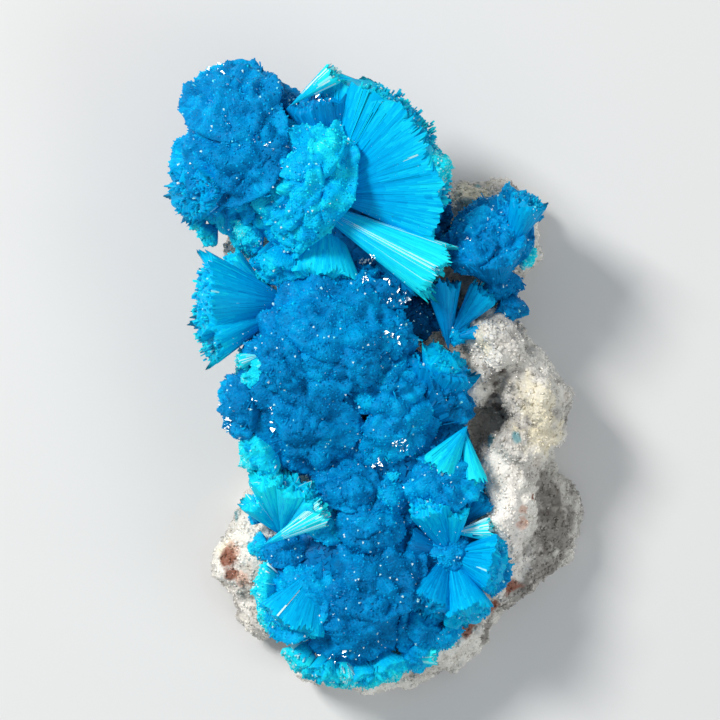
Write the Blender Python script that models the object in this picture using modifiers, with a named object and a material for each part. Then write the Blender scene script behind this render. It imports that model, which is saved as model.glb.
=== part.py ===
"""Cavansite specimen: blue radiating sprays grown along a piece of drusy matrix.

The specimen lies on a flat broken base at z = 0. +Y runs along its length, towards the crown,
+X to the side where the matrix shows widest, and +Z up. The origin is on the base, under the
middle of the specimen's box. Tables are in millimetres and degrees, meshes in metres.
"""
import math

import bmesh
import bpy
from mathutils import Euler, Matrix, Vector, noise

MM = 0.001
SPECIMEN = "cavansite_specimen"
CUTTERS = "cutters"

# From the origin of the tables below to the middle of the specimen's box, mm.
BOX_MIDDLE = (0.27, -0.72)

# A spray is a cone of crystals that radiate from one root. Its far end is a cap of crystal
# points, and its near end closes to the root.
CAP_END = 117.0          # degrees from the axis, on the sphere that is bent to a spray's form
VALLEY = 0.90            # how far out the valleys between crystal points lie, as a share of reach
POINT_LEAN = 0.9         # draws the crystal points in, so that none overhangs the rim
ROOT_BACK = 0.14         # how far the root lies behind the centre, as a share of reach
FINE_CAP = 8.4           # mm of arc from axis to rim, a cap of this or more is the finer one
PLAIN_REACH = 3.0        # mm, a spray of this reach or less has flat facets and no points
CAP_SWELL = 0.13         # share of reach by which a cap swells and sinks
SWELL_PITCH = 2.3        # swells across a unit sphere

SPRAY_TRIANGLES = 6700   # the main mass, the finest zigzags along its seams collapsed

GAP = 0.3                # mm, between the matrix and what grows on it
ENVELOPE_MARGIN = 0.8    # mm, added to each lump so that the coarse envelope keeps the gap
ENVELOPE_VOXEL = 1.3     # mm
ENVELOPE_TRIANGLES = 700

ROCK_VOXEL = 0.9         # mm, grain of the joined lumps
ROCK_TRIANGLES = 2300
LEDGE_HEIGHT = 0.75      # mm, height of the matrix's ledges and pits
LEDGE_PITCH = 0.22       # ledges per mm
LEDGE_MIDDLE = 1.1       # value of the ridged noise that leaves the surface where it is

BLUE = (0.0, 0.2, 0.58)
GREY = (0.56, 0.53, 0.47)

# name, centre, half sizes, turn about Z
MATRIX_LUMPS = [
    ("floor_south_west", (-8.6, -18.2, 2.0), (7.6, 8.2, 7.2), -8),
    ("floor_south", (1.6, -22.3, 2.0), (11.2, 9.4, 7.8), 4),
    ("floor_south_east", (9.0, -16.2, 2.0), (10.4, 8.8, 7.6), 24),
    ("outer_ledge", (16.4, -14.8, 0.5), (4.6, 5.8, 6.4), -4),
    ("east_ridge", (13.2, -13.6, 4.5), (3.0, 7.2, 8.0), -10),
    ("cream_knob", (16.3, -2.6, 5.5), (3.2, 4.6, 7.4), 5),
    ("cream_knob_low", (17.3, -5.6, 4.5), (2.0, 2.4, 6.6), 0),
    ("grey_knob", (12.0, 3.4, 6.0), (3.0, 4.4, 7.6), 20),
    ("grey_knob_low", (9.8, -0.6, 5.0), (3.0, 3.0, 6.0), 0),
    ("neck", (8.8, 9.0, 2.0), (4.2, 4.6, 4.6), 0),
    ("grey_spur", (15.0, 2.0, 5.0), (1.9, 1.8, 7.0), 0),
    ("white_knob", (14.2, -7.2, 5.5), (3.0, 2.4, 7.6), -15),
    ("white_knob_low", (11.4, -9.2, 4.5), (2.4, 2.6, 6.4), 0),
    ("north_east", (11.9, 14.1, 3.0), (4.6, 6.0, 5.6), 0),
    ("north_east_tip", (8.9, 17.8, 3.0), (2.2, 2.2, 5.0), 0),
    ("middle", (-0.2, -2.4, 2.0), (12.4, 13.5, 7.0), 0),
    ("north", (-4.7, 13.6, 2.0), (10.6, 11.6, 8.0), 0),
    ("west_tooth", (-14.7, 13.0, 6.0), (1.4, 1.3, 3.0), 0),
    ("brown_knob", (-15.2, -18.8, 3.0), (1.5, 2.3, 4.6), -15),
    ("south_tooth", (-0.6, -30.6, 2.5), (2.4, 2.2, 4.6), 0),
    ("south_west_tooth_1", (-11.2, -24.4, 3.0), (2.6, 2.4, 4.6), 25),
    ("south_west_tooth_2", (-6.0, -29.3, 2.5), (2.6, 1.9, 4.6), 25),
    ("south_step", (8.2, -24.6, 2.5), (5.6, 2.2, 4.6), 18),
]

# The intergrown roots under the sprays: name, centre, half sizes, turn about Z
ROOTS = [
    ("root_crown", (-12.0, 20.5, 9.5), (5.5, 6.0, 4.6), 0),
    ("root_fan", (-4.0, 17.0, 9.5), (8.0, 7.5, 4.6), 0),
    ("root_middle", (-5.0, 2.0, 9.0), (7.5, 9.5, 5.0), 0),
    ("root_waist", (1.5, -8.5, 8.8), (9.0, 7.5, 4.2), 0),
    ("root_south", (-1.5, -20.0, 8.6), (9.5, 8.5, 4.4), 0),
    ("root_rosette", (7.0, -17.5, 8.5), (4.5, 5.0, 3.4), 0),
]

# name, centre, reach, heading from +X, rise from level, half spread, half depth
MAIN_SPRAYS = [
    # the crown, at the north-west end
    ("crown_north", (-12.4, 23.1, 10.0), 9.6, 112, 40, 36, 44),
    ("crown_east", (-11.4, 22.9, 10.0), 7.0, 60, 32, 30, 40),
    ("crown_knob", (-9.6, 26.9, 9.6), 2.5, 45, 30, 58, 50),
    ("crown_west", (-11.8, 21.4, 10.0), 8.8, 176, 38, 30, 44),
    ("crown_southwest", (-11.8, 20.9, 9.5), 9.3, 201, 28, 18, 34),
    ("crown_south", (-12.7, 20.6, 9.5), 6.6, 236, 38, 30, 44),
    ("crown_heart", (-12.4, 22.1, 10.6), 8.4, 155, 72, 48, 42),
    ("crown_hem_1", (-17.2, 16.4, 9.0), 2.0, 215, 12, 45, 40),
    ("crown_hem_2", (-16.2, 15.3, 9.0), 2.2, 225, 15, 50, 45),
    # the domes to the west of the great fan
    ("mass_core", (-4.7, 18.8, 10.2), 9.0, 160, 62, 52, 46),
    ("mass_top", (-3.9, 18.9, 10.5), 10.0, 126, 44, 28, 36),
    ("mass_west", (-3.9, 18.8, 10.5), 9.3, 172, 44, 30, 36),
    ("mass_south", (-4.0, 18.8, 10.5), 9.1, 212, 40, 24, 34),
    ("mass_knob", (-5.5, 18.1, 15.5), 2.3, 330, 50, 75, 65),
    ("mass_block", (-6.5, 15.7, 13.5), 2.1, 280, 50, 70, 60),
    ("apron_west", (-8.4, 14.2, 11.0), 5.6, 255, 30, 40, 30),
    ("apron_southwest", (-11.2, 16.2, 10.5), 4.4, 225, 25, 36, 36),
    ("apron_low", (-10.4, 11.9, 10.5), 3.0, 285, 35, 65, 50),
    # the great fan, its sheaf and its dark skirt
    ("fan_wall", (-3.9, 19.1, 12.5), 9.7, 103, 18, 20, 18),
    ("fan_face", (-3.9, 19.1, 14.2), 10.9, 34, 9, 66, 19),
    ("fan_tuft", (5.0, 20.6, 16.0), 2.5, 12, 25, 70, 60),
    ("fan_sheaf", (-6.3, 17.4, 13.6), 14.6, 331, 7, 12, 10),
    ("fan_spikes", (-3.1, 16.4, 10.2), 10.6, 318, 0, 16, 16),
    ("fan_under", (-2.6, 17.8, 10.0), 9.4, 345, 10, 30, 26),
    ("heart_shelf", (-3.1, 4.8, 9.6), 7.4, 52, 20, 30, 30),
    ("fan_skirt_1", (4.5, 18.8, 9.5), 2.9, 12, 20, 50, 50),
    ("fan_skirt_2", (4.5, 16.6, 9.5), 3.2, 350, 20, 50, 50),
    ("fan_skirt_3", (4.8, 14.2, 9.5), 2.8, 335, 20, 55, 50),
    ("apron_fan", (-5.2, 17.2, 11.5), 8.1, 264, 14, 31, 20),
    ("fan_book", (-8.1, 27.4, 16.5), 5.0, 36, 12, 13, 10),
    # the leaf and the fringe on the west side
    ("west_leaf", (-8.9, 7.5, 11.5), 9.5, 176, 14, 28, 24),
    ("west_low", (-9.4, 6.8, 11.0), 8.9, 203, 16, 16, 22),
    ("west_top", (-11.2, 8.8, 11.0), 5.1, 145, 10, 22, 20),
    ("west_edge_1", (-9.2, 0.6, 10.0), 4.6, 172, 20, 44, 42),
    ("west_edge_2", (-10.4, -2.5, 10.2), 5.4, 190, 22, 42, 44),
    ("west_edge_3", (-9.2, -6.5, 9.8), 4.9, 210, 20, 44, 44),
    ("west_blade", (-10.8, 2.5, 12.0), 2.9, 197, 10, 14, 10),
    # the domes in the middle
    ("heart_north", (-4.7, 3.0, 9.0), 9.4, 78, 57, 48, 42),
    ("heart_east", (-3.6, 3.2, 9.8), 7.0, 22, 40, 34, 38),
    ("heart", (-5.7, 0.9, 8.0), 9.4, 165, 70, 54, 42),
    ("heart_south", (-6.0, -2.5, 8.2), 8.3, 250, 57, 56, 42),
    ("knob_north", (0.3, -1.6, 10.5), 5.8, 80, 64, 64, 55),
    ("heart_fold", (-2.5, -0.8, 9.5), 4.8, 90, 80, 60, 60),
    ("knob_south", (1.1, -3.8, 10.0), 5.8, 320, 55, 65, 52),
    ("knob_foot", (-0.7, -7.2, 10.0), 3.2, 270, 60, 75, 60),
    # the wing, the small fans and the cushion on the east side
    ("east_wing", (4.0, -4.0, 9.8), 6.4, 36, 28, 38, 34),
    ("east_wing_tip", (4.8, -2.5, 10.4), 6.0, 66, 22, 24, 30),
    ("east_wing_shade", (4.3, -1.8, 9.0), 4.6, 110, 35, 42, 40),
    ("gap_shade", (3.5, 6.0, 7.6), 3.0, 90, 70, 85, 80),
    ("east_vee", (8.8, -5.3, 13.0), 4.9, 236, 2, 24, 14),
    ("east_vee_low", (8.8, -5.5, 12.5), 5.2, 283, 0, 14, 14),
    ("east_cushion", (6.8, -10.8, 9.0), 5.3, 110, 70, 64, 54),
    ("east_cushion_west", (4.3, -9.8, 9.5), 3.0, 190, 50, 65, 55),
    ("east_hem", (8.8, -11.4, 9.5), 2.6, 350, 25, 60, 50),
    # the small beads between the middle and the south
    ("bead_1", (1.8, -10.1, 11.0), 1.6, 60, 70, 90, 90),
    ("bead_2", (0.9, -12.1, 11.2), 2.7, 60, 60, 75, 70),
    ("bead_3", (-2.6, -11.4, 11.0), 3.9, 100, 65, 65, 60),
    ("bead_4", (-0.7, -15.2, 11.0), 4.0, 95, 75, 72, 64),
    ("bead_5", (3.1, -14.2, 10.0), 1.9, 20, 60, 80, 80),
    ("bead_6", (-4.5, -10.1, 11.0), 2.6, 110, 60, 75, 70),
    ("bead_7", (2.4, -12.8, 10.2), 1.7, 40, 60, 80, 80),
    ("bridge", (-1.9, -7.8, 10.0), 3.4, 90, 70, 80, 80),
    # the cup and its bright blade
    ("cup_0", (-9.6, -15.8, 9.3), 5.3, 131, 26, 15, 20),
    ("cup_1", (-9.6, -15.8, 9.5), 7.0, 105, 28, 15, 18),
    ("cup_2", (-9.6, -15.8, 9.5), 6.6, 75, 34, 20, 18),
    ("cup_3", (-9.6, -15.8, 9.5), 6.7, 42, 34, 17, 18),
    ("cup_side", (-10.7, -13.8, 9.0), 2.4, 165, 15, 50, 40),
    ("cup_blade", (-10.6, -16.4, 12.5), 6.2, 28, 8, 11, 7),
    ("cup_lip", (-5.5, -15.6, 9.5), 3.5, 60, 55, 62, 52),
    ("cup_knob", (-10.8, -17.1, 8.5), 2.0, 185, 25, 60, 55),
    ("cup_heel", (-8.7, -18.1, 9.5), 3.0, 110, 50, 65, 60),
    # the domes and the fringe at the south end
    ("south_west", (-6.5, -23.1, 8.3), 6.5, 150, 62, 52, 46),
    ("south_west_hem", (-9.2, -21.1, 8.5), 2.9, 180, 8, 55, 42),
    ("south_west_hem_2", (-8.9, -23.6, 8.5), 2.8, 203, 10, 48, 42),
    ("south_heart", (0.1, -21.8, 8.0), 7.4, 95, 68, 48, 44),
    ("south_shoulder", (2.9, -21.9, 10.0), 2.7, 15, 40, 75, 65),
    ("south", (-2.1, -23.6, 8.2), 7.2, 262, 62, 60, 48),
    ("south_east", (3.5, -24.8, 9.0), 3.6, 340, 50, 72, 62),
    ("south_hem_1", (-6.0, -27.1, 8.4), 3.0, 228, 18, 30, 30),
    ("south_hem_5", (-4.5, -27.8, 8.2), 3.4, 250, 22, 26, 30),
    ("south_hem_2", (-3.5, -28.6, 8.0), 2.6, 262, 15, 36, 36),
    ("south_hem_3", (-1.4, -28.9, 8.0), 2.7, 280, 15, 48, 42),
    ("south_hem_4", (0.3, -28.1, 8.0), 3.2, 295, 15, 45, 42),
    ("south_apron", (2.9, -26.6, 8.5), 3.6, 325, 25, 58, 46),
    ("south_sheaf", (1.1, -28.6, 8.0), 5.0, 5, 6, 12, 12),
    # the leaves of the south-east rosette
    ("rosette_1", (7.5, -17.8, 10.0), 5.8, 112, 30, 18, 16),
    ("rosette_2", (7.5, -17.8, 10.0), 4.6, 84, 28, 14, 16),
    ("rosette_3", (7.5, -17.8, 10.0), 5.1, 165, 15, 22, 20),
    ("rosette_4", (7.3, -18.1, 10.0), 6.3, 248, 24, 24, 24),
    ("rosette_5", (7.5, -17.9, 10.0), 7.4, 287, 20, 22, 24),
    ("rosette_6", (7.5, -17.8, 10.2), 5.2, 352, 24, 36, 30),
    ("rosette_7", (8.1, -15.2, 9.5), 4.5, 46, 20, 18, 14),
    ("rosette_bundle", (8.0, -15.6, 11.5), 3.7, 6, 8, 20, 14),
    ("rosette_heart", (7.5, -17.8, 10.0), 3.4, 0, 85, 60, 60),
    ("rosette_hem", (10.8, -19.6, 8.5), 2.8, 338, 10, 50, 42),
    ("rosette_hem_low", (7.8, -22.2, 9.0), 3.2, 302, 15, 42, 38),
    ("rosette_foot", (6.2, -25.1, 8.5), 2.9, 295, 25, 60, 52),
]

NORTH_EAST_SPRAYS = [
    ("cluster_main", (12.3, 11.6, 7.5), 6.9, 112, 60, 46, 42),
    ("cluster_peak", (12.8, 14.1, 8.0), 5.2, 62, 32, 30, 40),
    ("cluster_top", (11.3, 13.9, 8.5), 4.4, 104, 45, 42, 42),
    ("cluster_south", (12.3, 10.9, 8.0), 3.9, 285, 42, 38, 44),
    ("cluster_east", (13.8, 12.8, 7.5), 2.5, 350, 10, 50, 45),
    ("cluster_foot", (13.1, 8.7, 8.8), 3.1, 285, 15, 42, 45),
    ("cluster_west", (11.8, 12.8, 8.3), 4.2, 178, 22, 30, 45),
    ("cluster_corner", (11.6, 13.1, 8.5), 4.6, 128, 30, 28, 40),
    ("cluster_north", (12.3, 13.8, 8.5), 4.8, 95, 34, 34, 40),
]

BLADE_SPRAYS = [
    ("blade_long", (7.2, 3.6, 10.6), 6.2, 95, 12, 17, 12),
    ("blade_fork", (7.7, 4.5, 10.7), 5.5, 52, 12, 18, 12),
    ("blade_finger", (7.7, 4.0, 10.5), 3.0, 12, 8, 16, 12),
    ("blade_root", (8.1, 5.0, 9.2), 2.2, 60, 60, 95, 90),
]


def clear_scene():
    """Remove every object that the file opened with."""
    for thing in list(bpy.data.objects):
        bpy.data.objects.remove(thing, do_unlink=True)


def make_collection(name):
    """Return a new collection linked to the scene."""
    group = bpy.data.collections.new(name)
    bpy.context.scene.collection.children.link(group)
    return group


def add_object(name, bm, group):
    """Turn a bmesh into a named object in a collection, and return it."""
    mesh = bpy.data.meshes.new(name)
    bm.to_mesh(mesh)
    bm.free()
    thing = bpy.data.objects.new(name, mesh)
    group.objects.link(thing)
    if group.name == CUTTERS:
        thing.hide_render = True
        thing.display_type = "WIRE"
    return thing


def frame_point(place):
    """Turn a place in the tables into metres from the specimen's origin."""
    x, y, z = place
    return Vector((x - BOX_MIDDLE[0], y - BOX_MIDDLE[1], z)) * MM


def cone_width(around, spread, depth):
    """Half angle of a spray's elliptic cone in the direction around its axis, in radians."""
    across = math.cos(around) / math.radians(spread)
    along = math.sin(around) / math.radians(depth)
    return 1.0 / math.hypot(across, along)


def bend_to_spray(bm, points, swell_start, reach, spread, depth):
    """Bend a unit sphere, its points raised, into the cone and cap of a spray along +Z."""
    cap_end = math.radians(CAP_END)
    back = reach * (ROOT_BACK + max(0.0, -math.cos(math.radians(max(spread, depth)))))
    root = Vector((0.0, 0.0, -back))
    for vert in bm.verts:
        from_axis = math.acos(max(-1.0, min(1.0, vert.co.z)))
        around = math.atan2(vert.co.y, vert.co.x)
        width = cone_width(around, spread, depth)
        lean = width * min(1.0, from_axis / cap_end)
        if vert in points:
            lean *= POINT_LEAN
        side = math.sin(lean)
        way = Vector((side * math.cos(around), side * math.sin(around), math.cos(lean)))
        uneven = noise.noise(vert.co * SWELL_PITCH + swell_start)
        length = reach * (1.0 + CAP_SWELL * uneven)
        if points and vert not in points:
            length *= VALLEY
        inward = max(0.0, (from_axis - cap_end) / (math.pi - cap_end))
        vert.co = (way * length).lerp(root, inward)


def add_spray(row, group):
    """One spray: a cap of three-sided crystal points on a cone that closes to its root."""
    name, place, reach, heading, rise, spread, depth = row
    bm = bmesh.new()
    levels = 2 if reach * math.radians(max(spread, depth)) >= FINE_CAP else 1
    bmesh.ops.create_icosphere(bm, subdivisions=levels, radius=1.0)
    low_edge = math.cos(math.radians(CAP_END))
    points = []
    if reach > PLAIN_REACH:
        cap = [face for face in bm.faces if min(v.co.z for v in face.verts) > low_edge]
        points = bmesh.ops.poke(bm, faces=cap)["verts"]
        for point in points:
            point.co.normalize()
    bend_to_spray(bm, set(points), Vector(place), reach * MM, spread, depth)
    stand = Matrix.Rotation(math.radians(90.0), 4, "Y")
    turn = Euler((0.0, -math.radians(rise), math.radians(heading))).to_matrix().to_4x4()
    quarter = Matrix.Rotation(math.radians(90.0), 4, "Z")
    bm.transform(Matrix.Translation(frame_point(place)) @ turn @ stand @ quarter)
    return add_object(name, bm, group)


def add_lump(row, levels, margin, group):
    """One ellipsoid, grown by a margin."""
    name, place, half_sizes, turn = row
    bm = bmesh.new()
    bmesh.ops.create_icosphere(bm, subdivisions=levels, radius=1.0)
    size = [(half + margin) * MM for half in half_sizes]
    shape = Matrix.Diagonal((size[0], size[1], size[2], 1.0))
    turned = Matrix.Rotation(math.radians(turn), 4, "Z")
    bm.transform(Matrix.Translation(frame_point(place)) @ turned @ shape)
    return add_object(name, bm, group)


def evaluated_bmesh(thing):
    """A bmesh of an object with its modifiers applied."""
    graph = bpy.context.evaluated_depsgraph_get()
    bm = bmesh.new()
    bm.from_object(thing, graph)
    return bm


def boolean(thing, operation, other=None, group=None):
    """Add an exact boolean of an object with another object or with a collection."""
    step = thing.modifiers.new(operation.lower(), "BOOLEAN")
    step.solver = "EXACT"
    step.operation = operation
    if group is None:
        step.object = other
    else:
        step.operand_type = "COLLECTION"
        step.collection = group


def islands(bm):
    """The bmesh's connected bodies, each a list of faces, the largest first."""
    bm.faces.index_update()
    seen = set()
    found = []
    for start in bm.faces:
        if start.index in seen:
            continue
        seen.add(start.index)
        body = [start]
        for face in body:
            for edge in face.edges:
                for near in edge.link_faces:
                    if near.index not in seen:
                        seen.add(near.index)
                        body.append(near)
        found.append(body)
    found.sort(key=lambda body: sum(face.calc_area() for face in body), reverse=True)
    return found


def keep_largest(bm):
    """Leave only the largest connected body."""
    for body in islands(bm)[1:]:
        bmesh.ops.delete(bm, geom=body, context="FACES")
    loose = [vert for vert in bm.verts if not vert.link_faces]
    bmesh.ops.delete(bm, geom=loose, context="VERTS")


def cut_base(bm):
    """Cut a bmesh flat at z = 0 and close the cut."""
    geometry = list(bm.verts) + list(bm.edges) + list(bm.faces)
    cut = bmesh.ops.bisect_plane(bm, geom=geometry, dist=1e-7, plane_co=(0.0, 0.0, 0.0),
                                 plane_no=(0.0, 0.0, 1.0), clear_inner=True)
    rim = [item for item in cut["geom_cut"] if isinstance(item, bmesh.types.BMEdge)]
    bmesh.ops.holes_fill(bm, edges=rim, sides=0)


def reduced(bm, triangles, group):
    """Collapse a bmesh to a number of triangles, least change first."""
    bmesh.ops.triangulate(bm, faces=bm.faces)
    count = len(bm.faces)
    fine = add_object("fine", bm, group)
    reduce = fine.modifiers.new("reduce", "DECIMATE")
    reduce.ratio = min(1.0, triangles / count)
    coarse = evaluated_bmesh(fine)
    bpy.data.objects.remove(fine, do_unlink=True)
    return coarse


def join_lumps(margin, voxel, triangles, ledge_height, group):
    """Join the matrix's lumps, each grown by a margin, in one rough rock on a flat base."""
    pieces = bmesh.new()
    for row in MATRIX_LUMPS:
        lump = add_lump(row, 4, margin, group)
        pieces.from_mesh(lump.data)
        bpy.data.objects.remove(lump, do_unlink=True)
    lumps = add_object("lumps", pieces, group)
    remesh = lumps.modifiers.new("join", "REMESH")
    remesh.mode = "VOXEL"
    remesh.voxel_size = voxel * MM
    bm = evaluated_bmesh(lumps)
    bpy.data.objects.remove(lumps, do_unlink=True)
    bm.normal_update()
    for vert in bm.verts:
        place = vert.co / MM * LEDGE_PITCH
        ridge = noise.ridged_multi_fractal(place, 0.9, 2.1, 3, 1.0, 2.0)
        vert.co += vert.normal * (ridge - LEDGE_MIDDLE) * ledge_height * MM
    bm = reduced(bm, triangles, group)
    cut_base(bm)
    keep_largest(bm)
    bmesh.ops.triangulate(bm, faces=[face for face in bm.faces if len(face.verts) > 3])
    return bm


def join_sprays(name, sprays, roots, cutter, group, cutters):
    """Join sprays and roots in one solid, and take the matrix's envelope from it."""
    parts = make_collection(name + "_parts")
    pieces = [add_lump(row, 2, 0.0, parts) for row in roots]
    pieces += [add_spray(row, parts) for row in sprays]
    first = pieces[0]
    parts.objects.unlink(first)
    cutters.objects.link(first)
    boolean(first, "UNION", group=parts)
    boolean(first, "DIFFERENCE", other=cutter)
    bm = evaluated_bmesh(first)
    for piece in pieces:
        bpy.data.objects.remove(piece, do_unlink=True)
    bpy.data.collections.remove(parts)
    keep_largest(bm)
    bm = reduced(bm, SPRAY_TRIANGLES, cutters)
    keep_largest(bm)
    mass = add_object(name, bm, group)
    mass.data.materials.append(plain_material(name, BLUE, 0.35))
    return mass


def plain_material(name, colour, roughness):
    """A Principled material of one colour."""
    material = bpy.data.materials.new(name)
    material.use_nodes = True
    shader = material.node_tree.nodes["Principled BSDF"]
    shader.inputs["Base Color"].default_value = (*colour, 1.0)
    shader.inputs["Roughness"].default_value = roughness
    shader.inputs["Metallic"].default_value = 0.0
    return material


def main():
    """Build the matrix and the three groups of sprays on it."""
    clear_scene()
    specimen = make_collection(SPECIMEN)
    cutters = make_collection(CUTTERS)

    rock = join_lumps(0.0, ROCK_VOXEL, ROCK_TRIANGLES, LEDGE_HEIGHT, cutters)
    matrix = add_object("matrix", rock, specimen)
    matrix.data.materials.append(plain_material("matrix", GREY, 0.8))
    shell = join_lumps(GAP + ENVELOPE_MARGIN, ENVELOPE_VOXEL, ENVELOPE_TRIANGLES, 0.0, cutters)
    envelope = add_object("envelope", shell, cutters)

    join_sprays("cavansite", MAIN_SPRAYS, ROOTS, envelope, specimen, cutters)
    join_sprays("cavansite_north_east", NORTH_EAST_SPRAYS, [], envelope, specimen, cutters)
    join_sprays("cavansite_blades", BLADE_SPRAYS, [], envelope, specimen, cutters)


main()
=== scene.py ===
"""The looks of a cavansite specimen: blue radiating sprays on a drusy matrix.

Runs from top to bottom. Each section builds one piece or one group of like pieces.
"""
import math

import bpy
import numpy as np
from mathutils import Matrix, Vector, noise
from mathutils.bvhtree import BVHTree


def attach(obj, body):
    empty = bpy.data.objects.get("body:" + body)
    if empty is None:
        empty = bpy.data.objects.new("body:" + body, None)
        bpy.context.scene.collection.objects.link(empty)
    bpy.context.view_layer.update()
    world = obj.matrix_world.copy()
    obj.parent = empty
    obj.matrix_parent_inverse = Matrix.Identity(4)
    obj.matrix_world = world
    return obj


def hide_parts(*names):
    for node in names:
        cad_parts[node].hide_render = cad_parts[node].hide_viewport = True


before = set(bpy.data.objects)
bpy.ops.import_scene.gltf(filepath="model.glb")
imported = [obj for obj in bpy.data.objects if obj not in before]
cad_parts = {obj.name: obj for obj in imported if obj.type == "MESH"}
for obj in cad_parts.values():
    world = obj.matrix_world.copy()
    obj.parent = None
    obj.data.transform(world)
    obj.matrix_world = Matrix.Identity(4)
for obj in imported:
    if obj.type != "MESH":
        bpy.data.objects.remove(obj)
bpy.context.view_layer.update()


# Camera, lights and floor. The specimen lies on a plain pale floor and is looked at from
# straight above. A large soft window-like light stands at the upper left, and a weak broad
# one fills from the lower right.
MM = 0.001
CAMERA_HEIGHT = 450 * MM
FOCUS_HEIGHT = 14 * MM
FRAME_WIDTH = 72 * MM          # what the picture spans at the focus height
EYE = Vector((-1.92 * MM, 2.47 * MM, CAMERA_HEIGHT))
SENSOR_WIDTH = 36              # in millimetres, as the lens is
KEY_PLACE = Vector((-0.34, 0.26, 0.42))
FILL_PLACE = Vector((0.40, -0.25, 0.35))
LIGHT_AIM = Vector((0.0, 0.0, 0.01))
AIR_COLOUR = (0.92, 0.96, 1.0)
AIR_GLOW = 0.42
FLOOR_SPAN = 1.6
FLOOR_COLOUR = (0.74, 0.74, 0.735)


def linked(name, data):
    """A new object in the scene."""
    thing = bpy.data.objects.new(name, data)
    bpy.context.scene.collection.objects.link(thing)
    return thing


def soft_light(name, place, size, power, colour):
    """An area light that looks at the specimen."""
    data = bpy.data.lights.new(name, "AREA")
    data.shape = "SQUARE"
    data.size = size
    data.energy = power
    data.color = colour
    light = linked(name, data)
    light.location = place
    light.rotation_euler = (LIGHT_AIM - place).to_track_quat("-Z", "Y").to_euler()


def deselect_all():
    """Leave nothing selected, as each modelling step starts."""
    bpy.ops.object.select_all(action="DESELECT")


def new_look(name):
    """A new material, with its node tree and its shader."""
    material = bpy.data.materials.new(name)
    material.use_nodes = True
    tree = material.node_tree
    return material, tree, tree.nodes["Principled BSDF"]


def fill_inputs(tree, node, inputs):
    """Set a node's inputs: another node's output is linked, a number or colour is stored."""
    for key, value in inputs.items():
        socket = node.inputs[key]
        if isinstance(value, bpy.types.NodeSocket):
            tree.links.new(value, socket)
        else:
            socket.default_value = (*value, 1.0) if socket.type == "RGBA" else value


camera_data = bpy.data.cameras.new("camera")
camera_data.sensor_width = SENSOR_WIDTH
camera_data.lens = SENSOR_WIDTH * (CAMERA_HEIGHT - FOCUS_HEIGHT) / FRAME_WIDTH
camera_data.clip_start = 0.01
camera = linked("camera", camera_data)
camera.location = EYE
bpy.context.scene.camera = camera
bpy.context.scene.view_settings.view_transform = "Standard"

soft_light("key", KEY_PLACE, size=0.16, power=3.1, colour=(1.0, 0.985, 0.96))
soft_light("fill", FILL_PLACE, size=0.30, power=0.8, colour=(0.93, 0.97, 1.0))
world = bpy.data.worlds.new("studio")
bpy.context.scene.world = world
world.use_nodes = True
air = world.node_tree.nodes["Background"]
fill_inputs(world.node_tree, air, {"Color": AIR_COLOUR, "Strength": AIR_GLOW})

deselect_all()
bpy.ops.mesh.primitive_plane_add(size=FLOOR_SPAN, location=(0.0, 0.0, 0.0))
floor = bpy.context.object
floor.name = "floor"
floor_look, floor_tree, floor_shader = new_look("floor")
fill_inputs(floor_tree, floor_shader, {"Base Color": FLOOR_COLOUR, "Roughness": 0.9})
floor.data.materials.append(floor_look)


# The matrix. A broken-off piece of rock under a skin of white to grey crystal grains, with
# cream lumps on its right side, red-brown basalt bare along its lower edges, and pale salmon
# and teal stains where other minerals grew. It formed as one piece.
ROCK_GRAIN = 0.34 * MM         # how finely the rock's surface is divided
ROCK_SMOOTHING = 8
ROCK_RELIEF = [                # pattern, its size and its height; below zero it cuts furrows
    ("CLOUDS", 4.2 * MM, 1.7 * MM),
    ("VORONOI", 1.7 * MM, -0.9 * MM),
    ("VORONOI", 0.62 * MM, -0.34 * MM),
]
CLOUD_DEPTH = 3
BOX_MIDDLE = (0.27, -0.72)     # where the frame's origin lies in the tables, in millimetres
OVERHEAD = 60.0                # millimetres, well over the specimen
DOWN = Vector((0.0, 0.0, -1.0))

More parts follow.
